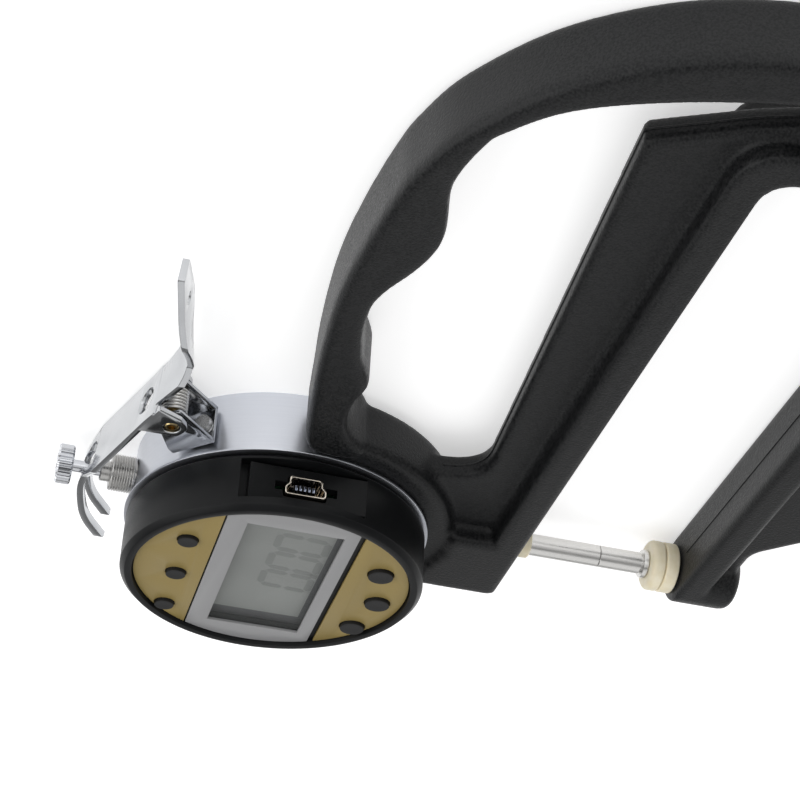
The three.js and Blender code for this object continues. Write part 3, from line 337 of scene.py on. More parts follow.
def selectFaces(piece, test):
    # selects the faces whose centre and normal pass the test
    bpy.ops.mesh.select_mode(type="FACE")
    bpy.ops.mesh.select_all(action="DESELECT")
    shape = bmesh.from_edit_mesh(piece.data)
    for face in shape.faces:
        face.select = bool(test(face.calc_center_median(), face.normal))
    shape.select_flush(True)
    bmesh.update_edit_mesh(piece.data)


def useModifier(piece, kind, **settings):
    pick(piece)
    modifier = piece.modifiers.new(kind.lower(), kind)
    for key, value in settings.items():
        setattr(modifier, key, value)
    bpy.ops.object.modifier_apply(modifier=modifier.name)


def smooth(piece, angle):
    pick(piece)
    bpy.ops.object.shade_smooth_by_angle(angle=radians(angle))


def soften(piece, width, segments=2, angle=30):
    useModifier(piece, "BEVEL", width=width, segments=segments, limit_method="ANGLE",
                angle_limit=radians(angle), use_clamp_overlap=True, miter_outer="MITER_ARC")


def cutAway(piece, *cutters):
    for cutter in cutters:
        useModifier(piece, "BOOLEAN", object=cutter, operation="DIFFERENCE", solver="EXACT")
        bpy.data.objects.remove(cutter, do_unlink=True)


def joinUp(piece, *others):
    bpy.ops.object.select_all(action="DESELECT")
    for other in others:
        other.select_set(True)
    piece.select_set(True)
    bpy.context.view_layer.objects.active = piece
    bpy.ops.object.join()
    return piece


def settle(piece):
    # puts the piece's place and turn into its mesh
    pick(piece)
    bpy.ops.object.transform_apply(location=True, rotation=True, scale=True)
    return piece


def dress(piece, finish, *nodes, body="gauge_body", slot=None, rim=0, angle=32):
    # rounds the rims where they are named, shades by angle where there is one, and gives the finish
    if rim:
        soften(piece, rim)
    if angle:
        smooth(piece, angle)
    slot = slot or finish
    piece.data.materials.clear()
    piece.data.materials.append(finishes[finish])
    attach(piece, body)
    if nodes:
        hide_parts(*nodes)
    return piece


def blockPiece(name, low, high):
    low, high = Vector(low), Vector(high)
    bpy.ops.mesh.primitive_cube_add(size=1, location=(low + high) / 2)
    piece = bpy.context.active_object
    piece.name = name
    piece.scale = high - low
    return settle(piece)


def barPiece(name, radius, low, high, axis="z", centre=(0, 0), sides=64):
    turns = {"x": (0, pi / 2, 0), "y": (pi / 2, 0, 0), "z": (0, 0, 0)}
    middle = (low + high) / 2
    places = {"x": (middle, *centre), "y": (centre[0], middle, centre[1]), "z": (*centre, middle)}
    bpy.ops.mesh.primitive_cylinder_add(vertices=sides, radius=radius, depth=high - low,
                                        location=places[axis], rotation=turns[axis])
    piece = bpy.context.active_object
    piece.name = name
    return settle(piece)


def turnPiece(name, stations, axis="z", centre=(0, 0, 0), sides=128, tooth=1):
    # stations are radius and height pairs; the last is the first again where the piece is hollow
    radius, height = stations[0]
    bpy.ops.mesh.primitive_circle_add(vertices=sides, radius=radius, location=(0, 0, height))
    piece = bpy.context.active_object
    piece.name = name
    settle(piece)
    for i, vertex in enumerate(piece.data.vertices):
        share = tooth if i % 4 in (2, 3) else 1
        vertex.co = (vertex.co.x * share, vertex.co.y * share, vertex.co.z)
    editAll(piece)
    for nextRadius, nextHeight in stations[1:]:
        bpy.ops.mesh.extrude_edges_move(TRANSFORM_OT_translate={"value": (0, 0, nextHeight - height)})
        share = nextRadius / radius
        bpy.ops.transform.resize(value=(share, share, 1), center_override=(0, 0, nextHeight))
        radius, height = nextRadius, nextHeight
    bpy.ops.mesh.select_all(action="SELECT")
    bpy.ops.mesh.remove_doubles(threshold=weldGap / 2)
    bpy.ops.mesh.fill_holes(sides=0)
    bpy.ops.mesh.select_all(action="SELECT")
    bpy.ops.mesh.normals_make_consistent(inside=False)
    leaveEdit()
    if axis == "y":
        piece.rotation_euler = (-pi / 2, 0, 0)
    if axis == "x":
        piece.rotation_euler = (0, pi / 2, 0)
    piece.location = centre
    return settle(piece)


def roundedCorners(corners, steps=10):
    # corners are x, y and an optional rounding; the curve matches the casting's
    points = []
    count = len(corners)
    for i, corner in enumerate(corners):
        here = Vector(corner[:2])
        radius = corner[2] if len(corner) > 2 else 0
        if not radius:
            points.append(here)
            continue
        back = (Vector(corners[i - 1][:2]) - here).normalized()
        ahead = (Vector(corners[(i + 1) % count][:2]) - here).normalized()
        reach = radius / tan(back.angle(ahead) / 2)
        for k in range(steps + 1):
            t = k / steps
            points.append(here + back * reach * (1 - t) ** 2 + ahead * reach * t ** 2)
    return points


def curveThrough(points, steps=6):
    # a smooth curve through the points, without the first one
    points = [Vector(p) for p in points]
    curve = []
    for i in range(len(points) - 1):
        before = points[max(i - 1, 0)]
        here, there = points[i], points[i + 1]
        after = points[min(i + 2, len(points) - 1)]
        for k in range(1, steps + 1):
            t = k / steps
            curve.append(0.5 * (2 * here + (there - before) * t
                         + (2 * before - 5 * here + 4 * there - after) * t ** 2
                         + (3 * here - before - 3 * there + after) * t ** 3))
    return curve


def platePiece(name, outline, low, high, edge=0, edgeHeight=None, steps=5):
    # a plate of a flat outline whose rims are rounded inwards by an edge and a height
    edgeHeight = edge if edgeHeight is None else edgeHeight
    area = sum(a.x * b.y - b.x * a.y for a, b in zip(outline, outline[1:] + outline[:1]))
    if area < 0:
        outline = outline[::-1]
    bpy.ops.mesh.primitive_circle_add(vertices=len(outline), radius=1, fill_type="NGON")
    piece = bpy.context.active_object
    piece.name = name
    for vertex, point in zip(piece.data.vertices, outline):
        vertex.co = (point.x, point.y, low + edgeHeight)
    piece.data.update()
    editAll(piece)
    rise = high - low - 2 * edgeHeight
    bpy.ops.mesh.extrude_region_move(TRANSFORM_OT_translate={"value": (0, 0, rise)})
    bpy.ops.mesh.select_all(action="SELECT")
    bpy.ops.mesh.normals_make_consistent(inside=False)
    for side in (1, -1) if edge else ():
        selectFaces(piece, lambda centre, normal: normal.z * side > 0.99)
        for k in range(steps):
            start, end = (pi / 2 * k / steps, pi / 2 * (k + 1) / steps)
            bpy.ops.mesh.inset(thickness=edge * (cos(start) - cos(end)),
                               depth=edgeHeight * (sin(end) - sin(start)))
    leaveEdit()
    return piece


def evenly(points, spacing):
    # the same closed outline, with its points at an even spacing
    ring = points + points[:1]
    places = [0]
    for here, there in zip(ring, ring[1:]):
        places.append(places[-1] + (there - here).length)
    count = round(places[-1] / spacing)
    even, k = [], 0
    for i in range(count):
        place = places[-1] * i / count
        while places[k + 1] < place:
            k += 1
        even.append(ring[k].lerp(ring[k + 1], (place - places[k]) / (places[k + 1] - places[k])))
    return even


def meshFromLine(name, points, closed=False, **settings):
    # the mesh of a flat or round curve through the points
    data = bpy.data.curves.new(name, "CURVE")
    for key, value in settings.items():
        setattr(data, key, value)
    line = data.splines.new("POLY")
    line.points.add(len(points) - 1)
    line.use_cyclic_u = closed
    for spot, point in zip(line.points, points):
        spot.co = (*point, 1)
    pick(newObject(name, data))
    bpy.ops.object.convert(target="MESH")
    return bpy.context.active_object


def wirePiece(name, points, radius):
    # a round wire along the points
    strand = meshFromLine(name, points, dimensions="3D", bevel_depth=radius, bevel_resolution=3,
                          use_fill_caps=True)
    smooth(strand, 60)
    return strand


def softPlate(name, outline, low, high, edge, edgeHeight):
    # a plate from a flat curve, whose rims are rounded by an edge and a height
    half = (high - low) / 2
    wall = half - edge
    piece = meshFromLine(name, [(p.x, p.y, 0) for p in outline], True, dimensions="2D", fill_mode="BOTH",
                         extrude=wall, bevel_depth=edge, bevel_resolution=5, offset=-edge)
    for vertex in piece.data.vertices:
        height = abs(vertex.co.z)
        if height <= wall:
            height *= (half - edgeHeight) / wall
        else:
            height = half - edgeHeight + (height - wall) * edgeHeight / edge
        vertex.co.z = low + half + (height if vertex.co.z > 0 else -height)
    editAll(piece)
    bpy.ops.mesh.remove_doubles(threshold=weldGap)
    bpy.ops.mesh.normals_make_consistent(inside=False)
    leaveEdit()
    return piece


def crossRecess(screw, radius, depth, x, y, low):
    # a cross recess in the end of a screw
    arm, slit = radius * 0.62, radius * 0.14
    for across, along in ((arm, slit), (slit, arm)):
        cutAway(screw, blockPiece("recess", (x - across, y - along, low - depth),
                                  (x + across, y + along, low + depth)))


def rimCurve(radius, height, edge, rise, steps):
    # stations round a rim, from the end face at the height out to the full radius
    turns = [pi / 2 * k / steps for k in range(steps + 1)]
    return [(radius - edge * (1 - sin(a)), height + rise * (1 - cos(a))) for a in turns]


def scaled(points):
    return [(x * mm, y * mm, *[r * mm for r in rest]) for x, y, *rest in points]


# frame: the casting, in one skin with soft fillets where its walls meet
spindleZ = 6.9 * mm
casting = inMm({
    "thickness": 13.4, "webHalf": 2.5, "edge": 1.1, "gripEdge": 1.5, "gripEdgeHeight": 2, "armBottom": -48,
    "throatBottom": -82.3, "throatBack": 127.6, "throatFillet": 6, "flange": 6.2,
    "blockLeft": -12.5, "blockRight": 7.5, "blockTop": -33.5, "blockRoot": -30.4, "blockCorner": 1.8,
    "ringInner": 28.8, "ringOverlap": 2, "ringOuter": 34, "ringHalf": 5.3, "ringEdge": 1.4, "ringEnd": -1.5,
    "noseRadius": 6.5, "noseBottom": -95, "noseEdge": 2, "noseCore": 0.4, "noseOverlap": 0.02,
    "gripPoint": 1.1, "voxel": 0.68, "throatFlash": 0.16, "openingFlash": 0.22, "flashTop": 9,
    "flashEnd": 7.5,
})
# bores through the casting, in millimetres: radius, low and high end, axis, centre and sides
bores = [
    (28.8, -5, 20, "z", (0, 0), 256), (4.3, -46.5, -26.8, "y", (0, 6.9), 64),
    (3.2, -50, -44.5, "y", (0, 6.9), 64), (2.1, -14.5, 0, "x", (-40.75, 6.9), 64),
    (2.3, -88.6, -80, "y", (0, 6.9), 64), (1.8, -97, -88.3, "y", (0, 6.9), 64),
]
gripLine = [
    (33, 1.7), (38, 2.5), (44.8, 3.4), (54.2, 4.7), (65.4, 5.8), (76.1, 6.4), (85.7, 6.2), (95.5, 5.5),
    (104.9, 4.4), (112.4, 2.9), (124, -1.7), (138.5, -13), (149.3, -30), (153.4, -50), (151.6, -66),
    (148, -80), (144.6, -86.6), (140.2, -85.6), (139.6, -79), (142.8, -68), (144.8, -52), (140.8, -33),
    (133.5, -16), (125.3, -7.4), (121.6, -5.5), (115, -3.9), (109.5, -3.7), (99.8, -5.7), (94.4, -5.6),
    (88.6, -3.9), (82.6, -1.2), (77.5, 0.2), (72.3, 0.1), (67.3, -0.5), (60.5, -2.2), (57, -3.8),
    (54.2, -4.9), (51.6, -4.8), (48.6, -4.1), (44, -3.9), (39.8, -4.5), (36, -6.4), (33.4, -8.8),
    (31, -9.4), (29.5, -7), (29.3, -3.4), (30.2, 0.2),
]
webOutside = [
    (23.6, -21.5), (24.6, -34.5, 8), (126.4, -28.5), (133.9, -43, 12), (141.2, -62), (151, -72),
    (147.5, -97, 20), (118, -106.5, 20), (27.6, -106.3, 10), (14.5, -93.3, 6), (0, -93.4),
]


def gripOutline():
    line = scaled(gripLine)
    return curveThrough([line[-1], *line, line[0]])[6:]


def ridgeLine(name, points, radius):
    # a fine flash line where the halves of the mould met
    ridge = wirePiece(name, [(p[0], p[1], spindleZ) for p in points], radius)
    dress(ridge, "casting", angle=0)


def makeFrame():
    c = casting
    low = c["throatBottom"] - c["flange"]
    top = c["armBottom"] + c["flange"]
    back = c["throatBack"] + c["flange"]
    outer = c["throatFillet"] + c["flange"] / 2
    throat = [(c["throatBack"], y, c["throatFillet"]) for y in (c["armBottom"], c["throatBottom"])]
    flange = platePiece("castFrame", roundedCorners([
        (c["blockLeft"], c["armBottom"], c["blockCorner"]), *throat, (0, c["throatBottom"]), (0, low),
        (back, low, outer), (back, top, outer), (c["blockLeft"], top),
    ]), 0, c["thickness"], c["edge"])
    web = platePiece("web", roundedCorners([
        (c["blockRight"], c["blockTop"]), *scaled(webOutside), (0, low), (c["throatBack"], low),
        (c["throatBack"], top), (c["blockRight"], top),
    ]), spindleZ - c["webHalf"], spindleZ + c["webHalf"], c["edge"])
    stemBlock = platePiece("stemBlock", roundedCorners([
        (c["blockLeft"], c["armBottom"], c["blockCorner"]), (c["blockRight"], c["armBottom"]),
        (c["blockRight"], c["blockTop"], c["edge"]), (c["blockLeft"] / 2, c["blockTop"]),
        (c["blockLeft"], c["blockRoot"], c["edge"]),
    ]), 0, c["thickness"], c["edge"])
    ringLow, ringHigh = spindleZ - c["ringHalf"], spindleZ + c["ringHalf"]
    inner, edge = c["ringInner"] - c["ringOverlap"], c["ringEdge"]
    ring = turnPiece("cradle", [
        (inner, ringLow), *rimCurve(c["ringOuter"], ringLow, edge, edge, 6),
        *rimCurve(c["ringOuter"], ringHigh, edge, -edge, 6)[::-1], (inner, ringHigh), (inner, ringLow),
    ], sides=256)
    cutAway(ring, blockPiece("above", (-far, c["ringEnd"], -far), (far, far, far)),
            blockPiece("beside", (-far, -far, -far), (c["blockLeft"], far, far)))
    nose = turnPiece("nose", [
        (c["noseCore"], c["noseBottom"]),
        *rimCurve(c["noseRadius"], c["noseBottom"], c["noseEdge"], c["noseEdge"], 6),
        (c["noseRadius"], c["throatBottom"] - c["noseOverlap"]),
    ], "y", (0, 0, spindleZ))
    grip = softPlate("grip", evenly(gripOutline(), c["gripPoint"]), 0, c["thickness"], c["gripEdge"],
                     c["gripEdgeHeight"])
    whole = joinUp(flange, web, grip, stemBlock, ring, nose)
    useModifier(whole, "REMESH", mode="VOXEL", voxel_size=c["voxel"], adaptivity=0)
    useModifier(whole, "SMOOTH", factor=0.5, iterations=3)
    for radius, start, end, axis, centre, sides in bores:
        middle = [side * mm for side in centre]
        cutAway(whole, barPiece("bore", radius * mm, start * mm, end * mm, axis, middle, sides))
    dress(whole, "casting", "frame", angle=35)
    seam = [(c["flashTop"], c["armBottom"]), *throat, (c["flashEnd"], c["throatBottom"])]
    ridgeLine("throatFlash", roundedCorners(seam, 8), c["throatFlash"])
    rim = roundedCorners([(c["blockRight"], c["blockTop"]), *scaled(webOutside[:6])])
    ridgeLine("openingFlash", rim[2:-1], c["openingFlash"])
    print("frame casting", len(whole.data.polygons))


makeFrame()


# case: the satin drum with its lip and floor
drum = inMm({
    "radius": 28.4, "wall": 2.2, "depth": 13.2, "lipRadius": 29.5, "lipDepth": 0.5, "floorLow": 9.9,
    "floorHigh": 11.4, "edge": 0.12, "collarHole": 3, "stemHole": 4.3, "holeStart": 24, "holeEnd": 32,
})


def makeCase():
    d = drum
    inner = d["radius"] - d["wall"]
    lipLow = d["depth"] - d["lipDepth"]
    case = turnPiece("caseDrum", [
        (inner, 0), (d["radius"], 0), (d["radius"], lipLow), (d["lipRadius"], lipLow),
        (d["lipRadius"], d["depth"]), (inner, d["depth"]), (inner, d["floorHigh"]),
        (wideCore, d["floorHigh"]), (wideCore, d["floorLow"]), (inner, d["floorLow"]), (inner, 0),
    ], sides=256)
    soften(case, d["edge"])
    cutAway(case, barPiece("collarHole", d["collarHole"], d["holeStart"], d["holeEnd"], "y", (0, spindleZ)),
            barPiece("stemHole", d["stemHole"], -d["holeEnd"], -d["holeStart"], "y", (0, spindleZ)))
    dress(case, "satin", "indicator_case")
    print("case")


makeCase()


# front housing: a black moulding with the window, the button holes and the port pocket
housing = inMm({
    "radius": 29, "rear": 13.5, "front": 25.3, "rearChamfer": 0.8, "rimChamfer": 1, "faceBore": 26.63,
    "webTop": 23.8, "webLow": 22.3, "inner": 26.6, "edge": 0.12, "buttonGap": 0.2,
})
window = inMm({"half": 20.4, "low": -9.6, "high": 8.7, "margin": 1.1})
buttonRows = [
    ("button_upper_right", 10.45, 18, 1.9), ("button_upper_middle", -2.9, 18, 1.9),
    ("button_upper_left", -16.25, 18, 1.9), ("button_lower_right", 9.2, -19.3, 2.4),
    ("button_lower_middle", -2.2, -21.5, 2.4), ("button_lower_left", -13.6, -19.3, 2.4),
]
port = inMm({
    "plane": 26.9, "low": -11.7, "high": 10.2, "rear": 15.3, "front": 22.7, "groove": 1.7, "depth": 2,
    "y": -0.2, "z": 19.2, "wide": 7.6, "neck": 6.1, "height": 3.8, "wall": 0.3, "proud": 0.9,
    "shellDepth": 5.9, "notch": 1.8, "pocketGap": 0.3,
    "opening": 0.3, "notchGrow": 0.4, "tongueHalf": 2.15, "tongueThick": 0.45, "tongueSeat": 0.1,
    "pinPitch": 0.8, "pinHalf": 0.2, "pinThick": 0.52, "pinProud": 0.06,
    "panelRim": 0.1, "shellRim": 0.07, "tongueRim": 0.12, "pinRim": 0.05,
})


def buttonCutters(rows):
    return [barPiece("hole", r * mm + housing["buttonGap"], cutLow, cutHigh, "z", (x * mm, y * mm))
            for _, x, y, r in rows]


def windowCutter(grow=0):
    w = window
    return blockPiece("opening", (-w["half"] - grow, w["low"] - grow, cutLow),
                      (w["half"] + grow, w["high"] + grow, cutHigh))


def makeHousing():
    h, p = housing, port
    shell = turnPiece("frontHousing", [
        (h["inner"], h["rear"]), (h["radius"] - h["rearChamfer"], h["rear"]),
        (h["radius"], h["rear"] + h["rearChamfer"]), (h["radius"], h["front"] - h["rimChamfer"]),
        (h["radius"] - h["rimChamfer"], h["front"]), (h["faceBore"], h["front"]),
        (h["faceBore"], h["webTop"]), (wideCore, h["webTop"]), (wideCore, h["webLow"]),
        (h["inner"], h["webLow"]), (h["inner"], h["rear"]),
    ], sides=256)
    soften(shell, h["edge"])
    gap = p["pocketGap"]
    pocket = blockPiece("pocket", (p["plane"] - p["depth"] - gap, p["low"] - gap / 3, p["rear"] - 2 * gap),
                        (far, p["high"] + p["groove"], p["front"] + gap / 3))
    cutAway(shell, windowCutter(window["margin"]), pocket, *buttonCutters(buttonRows))
    dress(shell, "plastic", "front_housing")
    print("front housing")


makeHousing()


# face: two gold plates and the grey band round the window
face = inMm({
    "radius": 26.33, "low": 23.9, "top": 24.5, "bandLow": -12.25, "bandHigh": 12.67, "lineHigh": 0.35,
    "lineLow": 1.1, "edge": 0.06,
})


def facePart(name, low, high):
    plate = barPiece(name, face["radius"], face["low"], face["top"], sides=256)
    cutAway(plate, blockPiece("lowCut", (-far, -far, cutLow), (far, low, cutHigh)),
            blockPiece("highCut", (-far, high, cutLow), (far, far, cutHigh)))
    return plate


def makeFace():
    f = face
    upper = facePart("goldPlateUpper", f["bandHigh"] + f["lineHigh"], far)
    lower = facePart("goldPlateLower", -far, f["bandLow"] - f["lineLow"])
    band = facePart("greyBand", f["bandLow"], f["bandHigh"])
    for plate, finish, node, cutters in (
            (upper, "gold", "face_plate_upper", buttonCutters(buttonRows[:3])),
            (lower, "gold", "face_plate_lower", buttonCutters(buttonRows[3:])),
            (band, "band", "window_band", [windowCutter()])):
        cutAway(plate, *cutters)
        dress(plate, finish, node, rim=f["edge"])
    print("face")


makeFace()


# display: a dark glass whose edge is painted shadow from the window's deep rim, the lighter sheet on it and
# plain digits
display = inMm({
    "half": 21.6, "low": -10.8, "high": 9.9, "rear": 19.8, "front": 22, "edge": 0.15, "sheetLeft": -18.2,
    "sheetLow": -9.1, "sheetGap": 0.3, "film": 0.04, "digitWidth": 5.6, "digitHeight": 9.4,
    "digitLow": -8.2, "bar": 1.45, "gap": 0.16, "pointGap": 1.1,
}, digitX=(-4.2 * mm, 3.2 * mm, 10.6 * mm), lean=0.08)


def digitBar(start, end, z):
    d = display
    along = (end - start).normalized()
    across = Vector((-along.y, along.x)) * d["bar"] / 2
    start, end = start + along * d["gap"], end - along * d["gap"]
    reach = along * d["bar"] / 2
    ring = [start, start + reach + across, end - reach + across,
            end, end - reach - across, start + reach - across]
    ring = [Vector((p.x + d["lean"] * (p.y - d["digitLow"]), p.y)) for p in ring]
    return platePiece("digitBar", ring, z, z + d["film"])


def makeDisplay():
    d = display
    glass = blockPiece("displayGlass", (-d["half"], d["low"], d["rear"]),
                       (d["half"], d["high"], d["front"]))
    dress(glass, "displayShadowEdge", "display_glass", slot="display", rim=d["edge"], angle=0)
    # the lighter sheet leaves a wide margin at the -x end and a narrower one at the -y side, where the dark
    # glass shows as a painted shadow band
    sheet = blockPiece("displaySheet", (d["sheetLeft"], d["sheetLow"], d["front"] - d["film"]),
                       (d["half"] - d["sheetGap"], d["high"] - d["sheetGap"], d["front"] + d["film"]))
    soften(sheet, d["film"] / 2, 1)
    dress(sheet, "display", angle=0)
    bars = []
    level = d["front"] + d["film"] / 2
    middle = d["digitLow"] + d["digitHeight"] / 2
    top = d["digitLow"] + d["digitHeight"]
    for place in d["digitX"]:
        left, right = place - d["digitWidth"] / 2, place + d["digitWidth"] / 2
        corners = [Vector(p) for p in ((left, d["digitLow"]), (right, d["digitLow"]), (right, middle),
                                       (right, top), (left, top), (left, middle))]
        bars += [digitBar(a, b, level) for a, b in zip(corners, corners[1:] + corners[:1])]
    point = Vector((d["digitX"][0] + d["digitWidth"] / 2 + d["pointGap"], d["digitLow"]))
    half = d["bar"] / 2
    square = [point + Vector(p) for p in ((-half, -half), (half, -half), (half, half), (-half, half))]
    bars.append(platePiece("digitPoint", square, level, level + d["film"]))
    dress(joinUp(*bars), "ink", slot="display", angle=0).name = "displayDigits"
    print("display")


makeDisplay()


# buttons: rubber caps with a flange behind the web and a stem, their side walls in darker rubber as painted
# shade
cap = inMm({
    "under": 22.2, "flange": 0.7, "lip": 0.4, "stem": 1.1, "stemLength": 1.5, "top": 25.15, "rim": 0.14,
    "dish": 0.07,
}, dishShare=0.6)


def makeButtons():
    c = cap
    for name, x, y, r in buttonRows:
        radius = r * mm
        flange = c["under"] - c["flange"]
        stations = [
            (core, flange - c["stemLength"]), (c["stem"], flange - c["stemLength"]), (c["stem"], flange),
            (radius + c["lip"], flange), (radius + c["lip"], c["under"]), (radius, c["under"]),
            *rimCurve(radius, c["top"], c["rim"], -c["rim"], 4)[::-1],
            (radius * c["dishShare"], c["top"] - c["dish"] * c["dishShare"]), (core, c["top"] - c["dish"]),
        ]
        button = turnPiece(name + "_cap", stations, centre=(x * mm, y * mm, 0), sides=64)
        dress(button, "rubber", name, body=name)
        # faces that don't face mostly up take the darker rubber, painted shade on the caps' side walls
        button.data.materials.append(finishes["capShadedSide"])
        for side in button.data.polygons:
            side.material_index = int(side.normal.z < 0.6)
    print("buttons")


makeButtons()


# data port: the flat panel, the drawn shell, the tongue and its five contacts
def sidePiece(name, outline, low, high):
    # a flat shape of the port, stood up so that it faces along x
    piece = platePiece(name, outline, low, high)
    piece.rotation_euler = (pi / 2, 0, pi / 2)
    piece.location = (0, port["y"], port["z"])
    return settle(piece)


def shellOutline(grow):
    p = port
    wide, neck, half = p["wide"] / 2 + grow, p["neck"] / 2 + grow, p["height"] / 2 + grow
    corner = p["wall"] * 2
    return roundedCorners([(-neck, -half, corner), (neck, -half, corner), (neck, -half / 4, corner),
                           (wide, half / 4, corner), (wide, half, corner), (-wide, half, corner),
                           (-wide, half / 4, corner), (-neck, -half / 4, corner)], 5)


def makePort():
    p = port
    back = p["plane"] - p["depth"]
    panel = blockPiece("portPanel", (back, p["low"], p["rear"]), (p["plane"], p["high"], p["front"]))
    half = p["notch"] / 2
    cutters = [sidePiece("opening", shellOutline(p["opening"]), back - mm, p["plane"] + mm)]
    for side in (1, -1):
        y = p["y"] + side * (p["wide"] + p["notch"]) / 2
        cutters.append(blockPiece("notch", (back - mm, y - half - p["notchGrow"], p["z"] - half),
                                  (p["plane"] + mm, y + half, p["z"] + half)))
    cutAway(panel, *cutters)
    dress(panel, "plastic", "port_panel", rim=p["panelRim"], angle=0)
    front = p["plane"] + p["proud"]
    rear = front - p["shellDepth"]
    shell = sidePiece("portShell", shellOutline(0), rear, front)
    cutAway(shell, sidePiece("hollow", shellOutline(-p["wall"]), rear + p["wall"], front + mm))
    dress(shell, "port", "port_shell", slot="chrome", rim=p["shellRim"])
    floor = rear + p["wall"] + p["tongueSeat"]
    tongue = blockPiece("portTongue", (floor, p["y"] - p["tongueHalf"], p["z"] - p["tongueThick"]),
                        (p["plane"], p["y"] + p["tongueHalf"], p["z"] + p["tongueThick"]))
    dress(tongue, "plastic", "port_tongue", rim=p["tongueRim"], angle=0)
    contacts = []
    for i in range(5):
        y = p["y"] + (i - 2) * p["pinPitch"]
        contacts.append(blockPiece("portContacts", (floor + mm, y - p["pinHalf"], p["z"] - p["pinThick"]),
                                   (p["plane"] + p["pinProud"], y + p["pinHalf"], p["z"] + p["pinThick"])))
    dress(joinUp(*contacts), "contact", slot="chrome", rim=p["pinRim"]).name = "portContacts"
    print("data port")


makePort()


# spindle line: the threaded collar, lift rod, knurled knob, spindle, bush and contacts
collar = inMm({"bore": 1.5, "shank": 2.7, "shankEnd": 24.9, "low": 28.5, "top": 33.2, "radius": 3.6,
               "threadDepth": 0.17, "boss": 2, "bossTop": 35.1, "edge": 0.15}, threads=9)
knob = inMm({"radius": 3.85, "low": 40.5, "top": 43.5, "bore": 1.3, "edge": 0.32, "dish": 0.25},
            teeth=26, tooth=0.91, dishOuter=0.66, dishInner=0.6)
contactDisc = inMm({
    "radius": 5.1, "thickness": 2.8, "edge": 0.5, "shoulder": 1.4, "meet": -79.2, "gap": 0.1, "stud": 1.5,
    "studLength": 4, "anvilStud": 2,
})
rods = inMm({
    "lift": 1.2, "liftEdge": 0.25, "spindle": 2.2, "edge": 0.07, "socket": 4, "socketBore": 1.3,
    "stud": 1.6, "studDepth": 4.1, "hub": 2.9, "hubEnd": 0.8, "neckDepth": 0.3, "neckEnd": 1.5,
})
bush = inMm({"radius": 2.9, "bore": 2.45, "edge": 0.25, "short": 0.6})
onSpindle = (0, 0, spindleZ)


def spindlePiece(name, stations, finish, node, **more):
    return dress(turnPiece(name, stations, "y", onSpindle, 96), finish, node, **more)


def makeCollar():
    c = collar
    pitch = (c["top"] - c["low"]) / (c["threads"] + 0.5)
    root = c["radius"] - c["threadDepth"]
    stations = [(c["bore"], c["shankEnd"]), (c["shank"], c["shankEnd"]), (c["shank"], c["low"]),
                (root, c["low"])]
    for i in range(c["threads"]):
        start = c["low"] + pitch * (i + 0.3)
        stations += [(root, start), (c["radius"], start + pitch * 0.36), (c["radius"], start + pitch * 0.5),
                     (root, start + pitch * 0.86)]
    stations += [(root, c["top"]), (c["boss"], c["top"]), (c["boss"], c["bossTop"] - c["edge"]),
                 (c["boss"] - c["edge"], c["bossTop"]), (c["bore"], c["bossTop"]),
                 (c["bore"], c["shankEnd"])]
    spindlePiece("topCollar", stations, "collar", "top_collar", slot="steel")


def makeKnob():
    k = knob
    edge, r = k["edge"], k["radius"]
    piece = turnPiece("liftKnob", [
        (k["bore"], k["low"]), (r - edge, k["low"]), (r, k["low"] + edge), (r, k["top"] - edge),
        (r - edge, k["top"]), (r * k["dishOuter"], k["top"]), (r * k["dishInner"], k["top"] - k["dish"]),
        (k["bore"], k["top"] - k["dish"]), (k["bore"], k["low"]),
    ], "y", onSpindle, k["teeth"] * 4, k["tooth"])
    dress(piece, "chrome", "lift_knob", body="spindle_group", angle=25)


def makeRods():
    c = rods
    r, edge = c["lift"], c["liftEdge"]
    low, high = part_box("lift_rod")
    spindlePiece("liftRod", [
        (core, low.y), (r, low.y), (r, high.y - edge), (r - edge, high.y), (core, high.y),
    ], "chrome", "lift_rod", body="spindle_group")
    r, edge, bore = c["spindle"], c["edge"], c["socketBore"]
    low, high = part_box("spindle")
    socket = high.y - c["socket"]
    spindlePiece("spindleBar", [
        (core, low.y), (r - edge, low.y), (r, low.y + edge), (r, high.y - edge), (r - edge, high.y),
        (bore, high.y), (bore, socket), (core, socket),
    ], "steel", "spindle", body="spindle_group")
    low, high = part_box("extension_rod")
    stud, hub, neck = c["stud"], c["hub"], r - c["neckDepth"]
    hubTop, neckTop, deep = low.y + mm, low.y + c["neckEnd"], low.y + c["studDepth"]
    spindlePiece("extensionRod", [
        (stud, low.y), (hub - edge, low.y), (hub, low.y + edge), (hub, low.y + c["hubEnd"]),
        (hub - edge, hubTop), (neck, hubTop), (neck, neckTop), (r, neckTop), (r, high.y - edge),
        (r - edge, high.y), (core, high.y), (core, deep), (stud, deep), (stud, low.y),
    ], "steel", "extension_rod", body="spindle_group")


def makeBush():
    low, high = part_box("lower_bush")
    low.y += bush["short"]
    r, bore, edge = bush["radius"], bush["bore"], bush["edge"]
    spindlePiece("lowerBush", [
        (bore, low.y), (r - edge, low.y), (r, low.y + edge), (r, high.y), (bore, high.y), (bore, low.y),
    ], "ceramic", "lower_bush")


def discStations(meet, side, stud, studLength, shoulder):
    # a contact disc from its meeting face back to its stud
    c = contactDisc
    r, edge = c["radius"], c["edge"]
    back = meet + side * c["thickness"]
    end = back + side * studLength
    return [(core, meet), *rimCurve(r, meet, edge, side * edge, 5),
            *rimCurve(r, back, shoulder, -side * shoulder * 0.75, 5)[::-1],
            (stud, back), (stud, end), (core, end)]


def makeContacts():
    c = contactDisc
    moving = discStations(c["meet"] + c["gap"], 1, c["stud"], c["studLength"], c["shoulder"])
    spindlePiece("movingContact", moving, "ceramic", "moving_contact", body="spindle_group")
    length = c["meet"] - c["thickness"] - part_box("anvil_contact")[0].y
    fixed = discStations(c["meet"], -1, c["anvilStud"], length, c["edge"])
    spindlePiece("anvilContact", fixed, "ceramic", "anvil_contact")


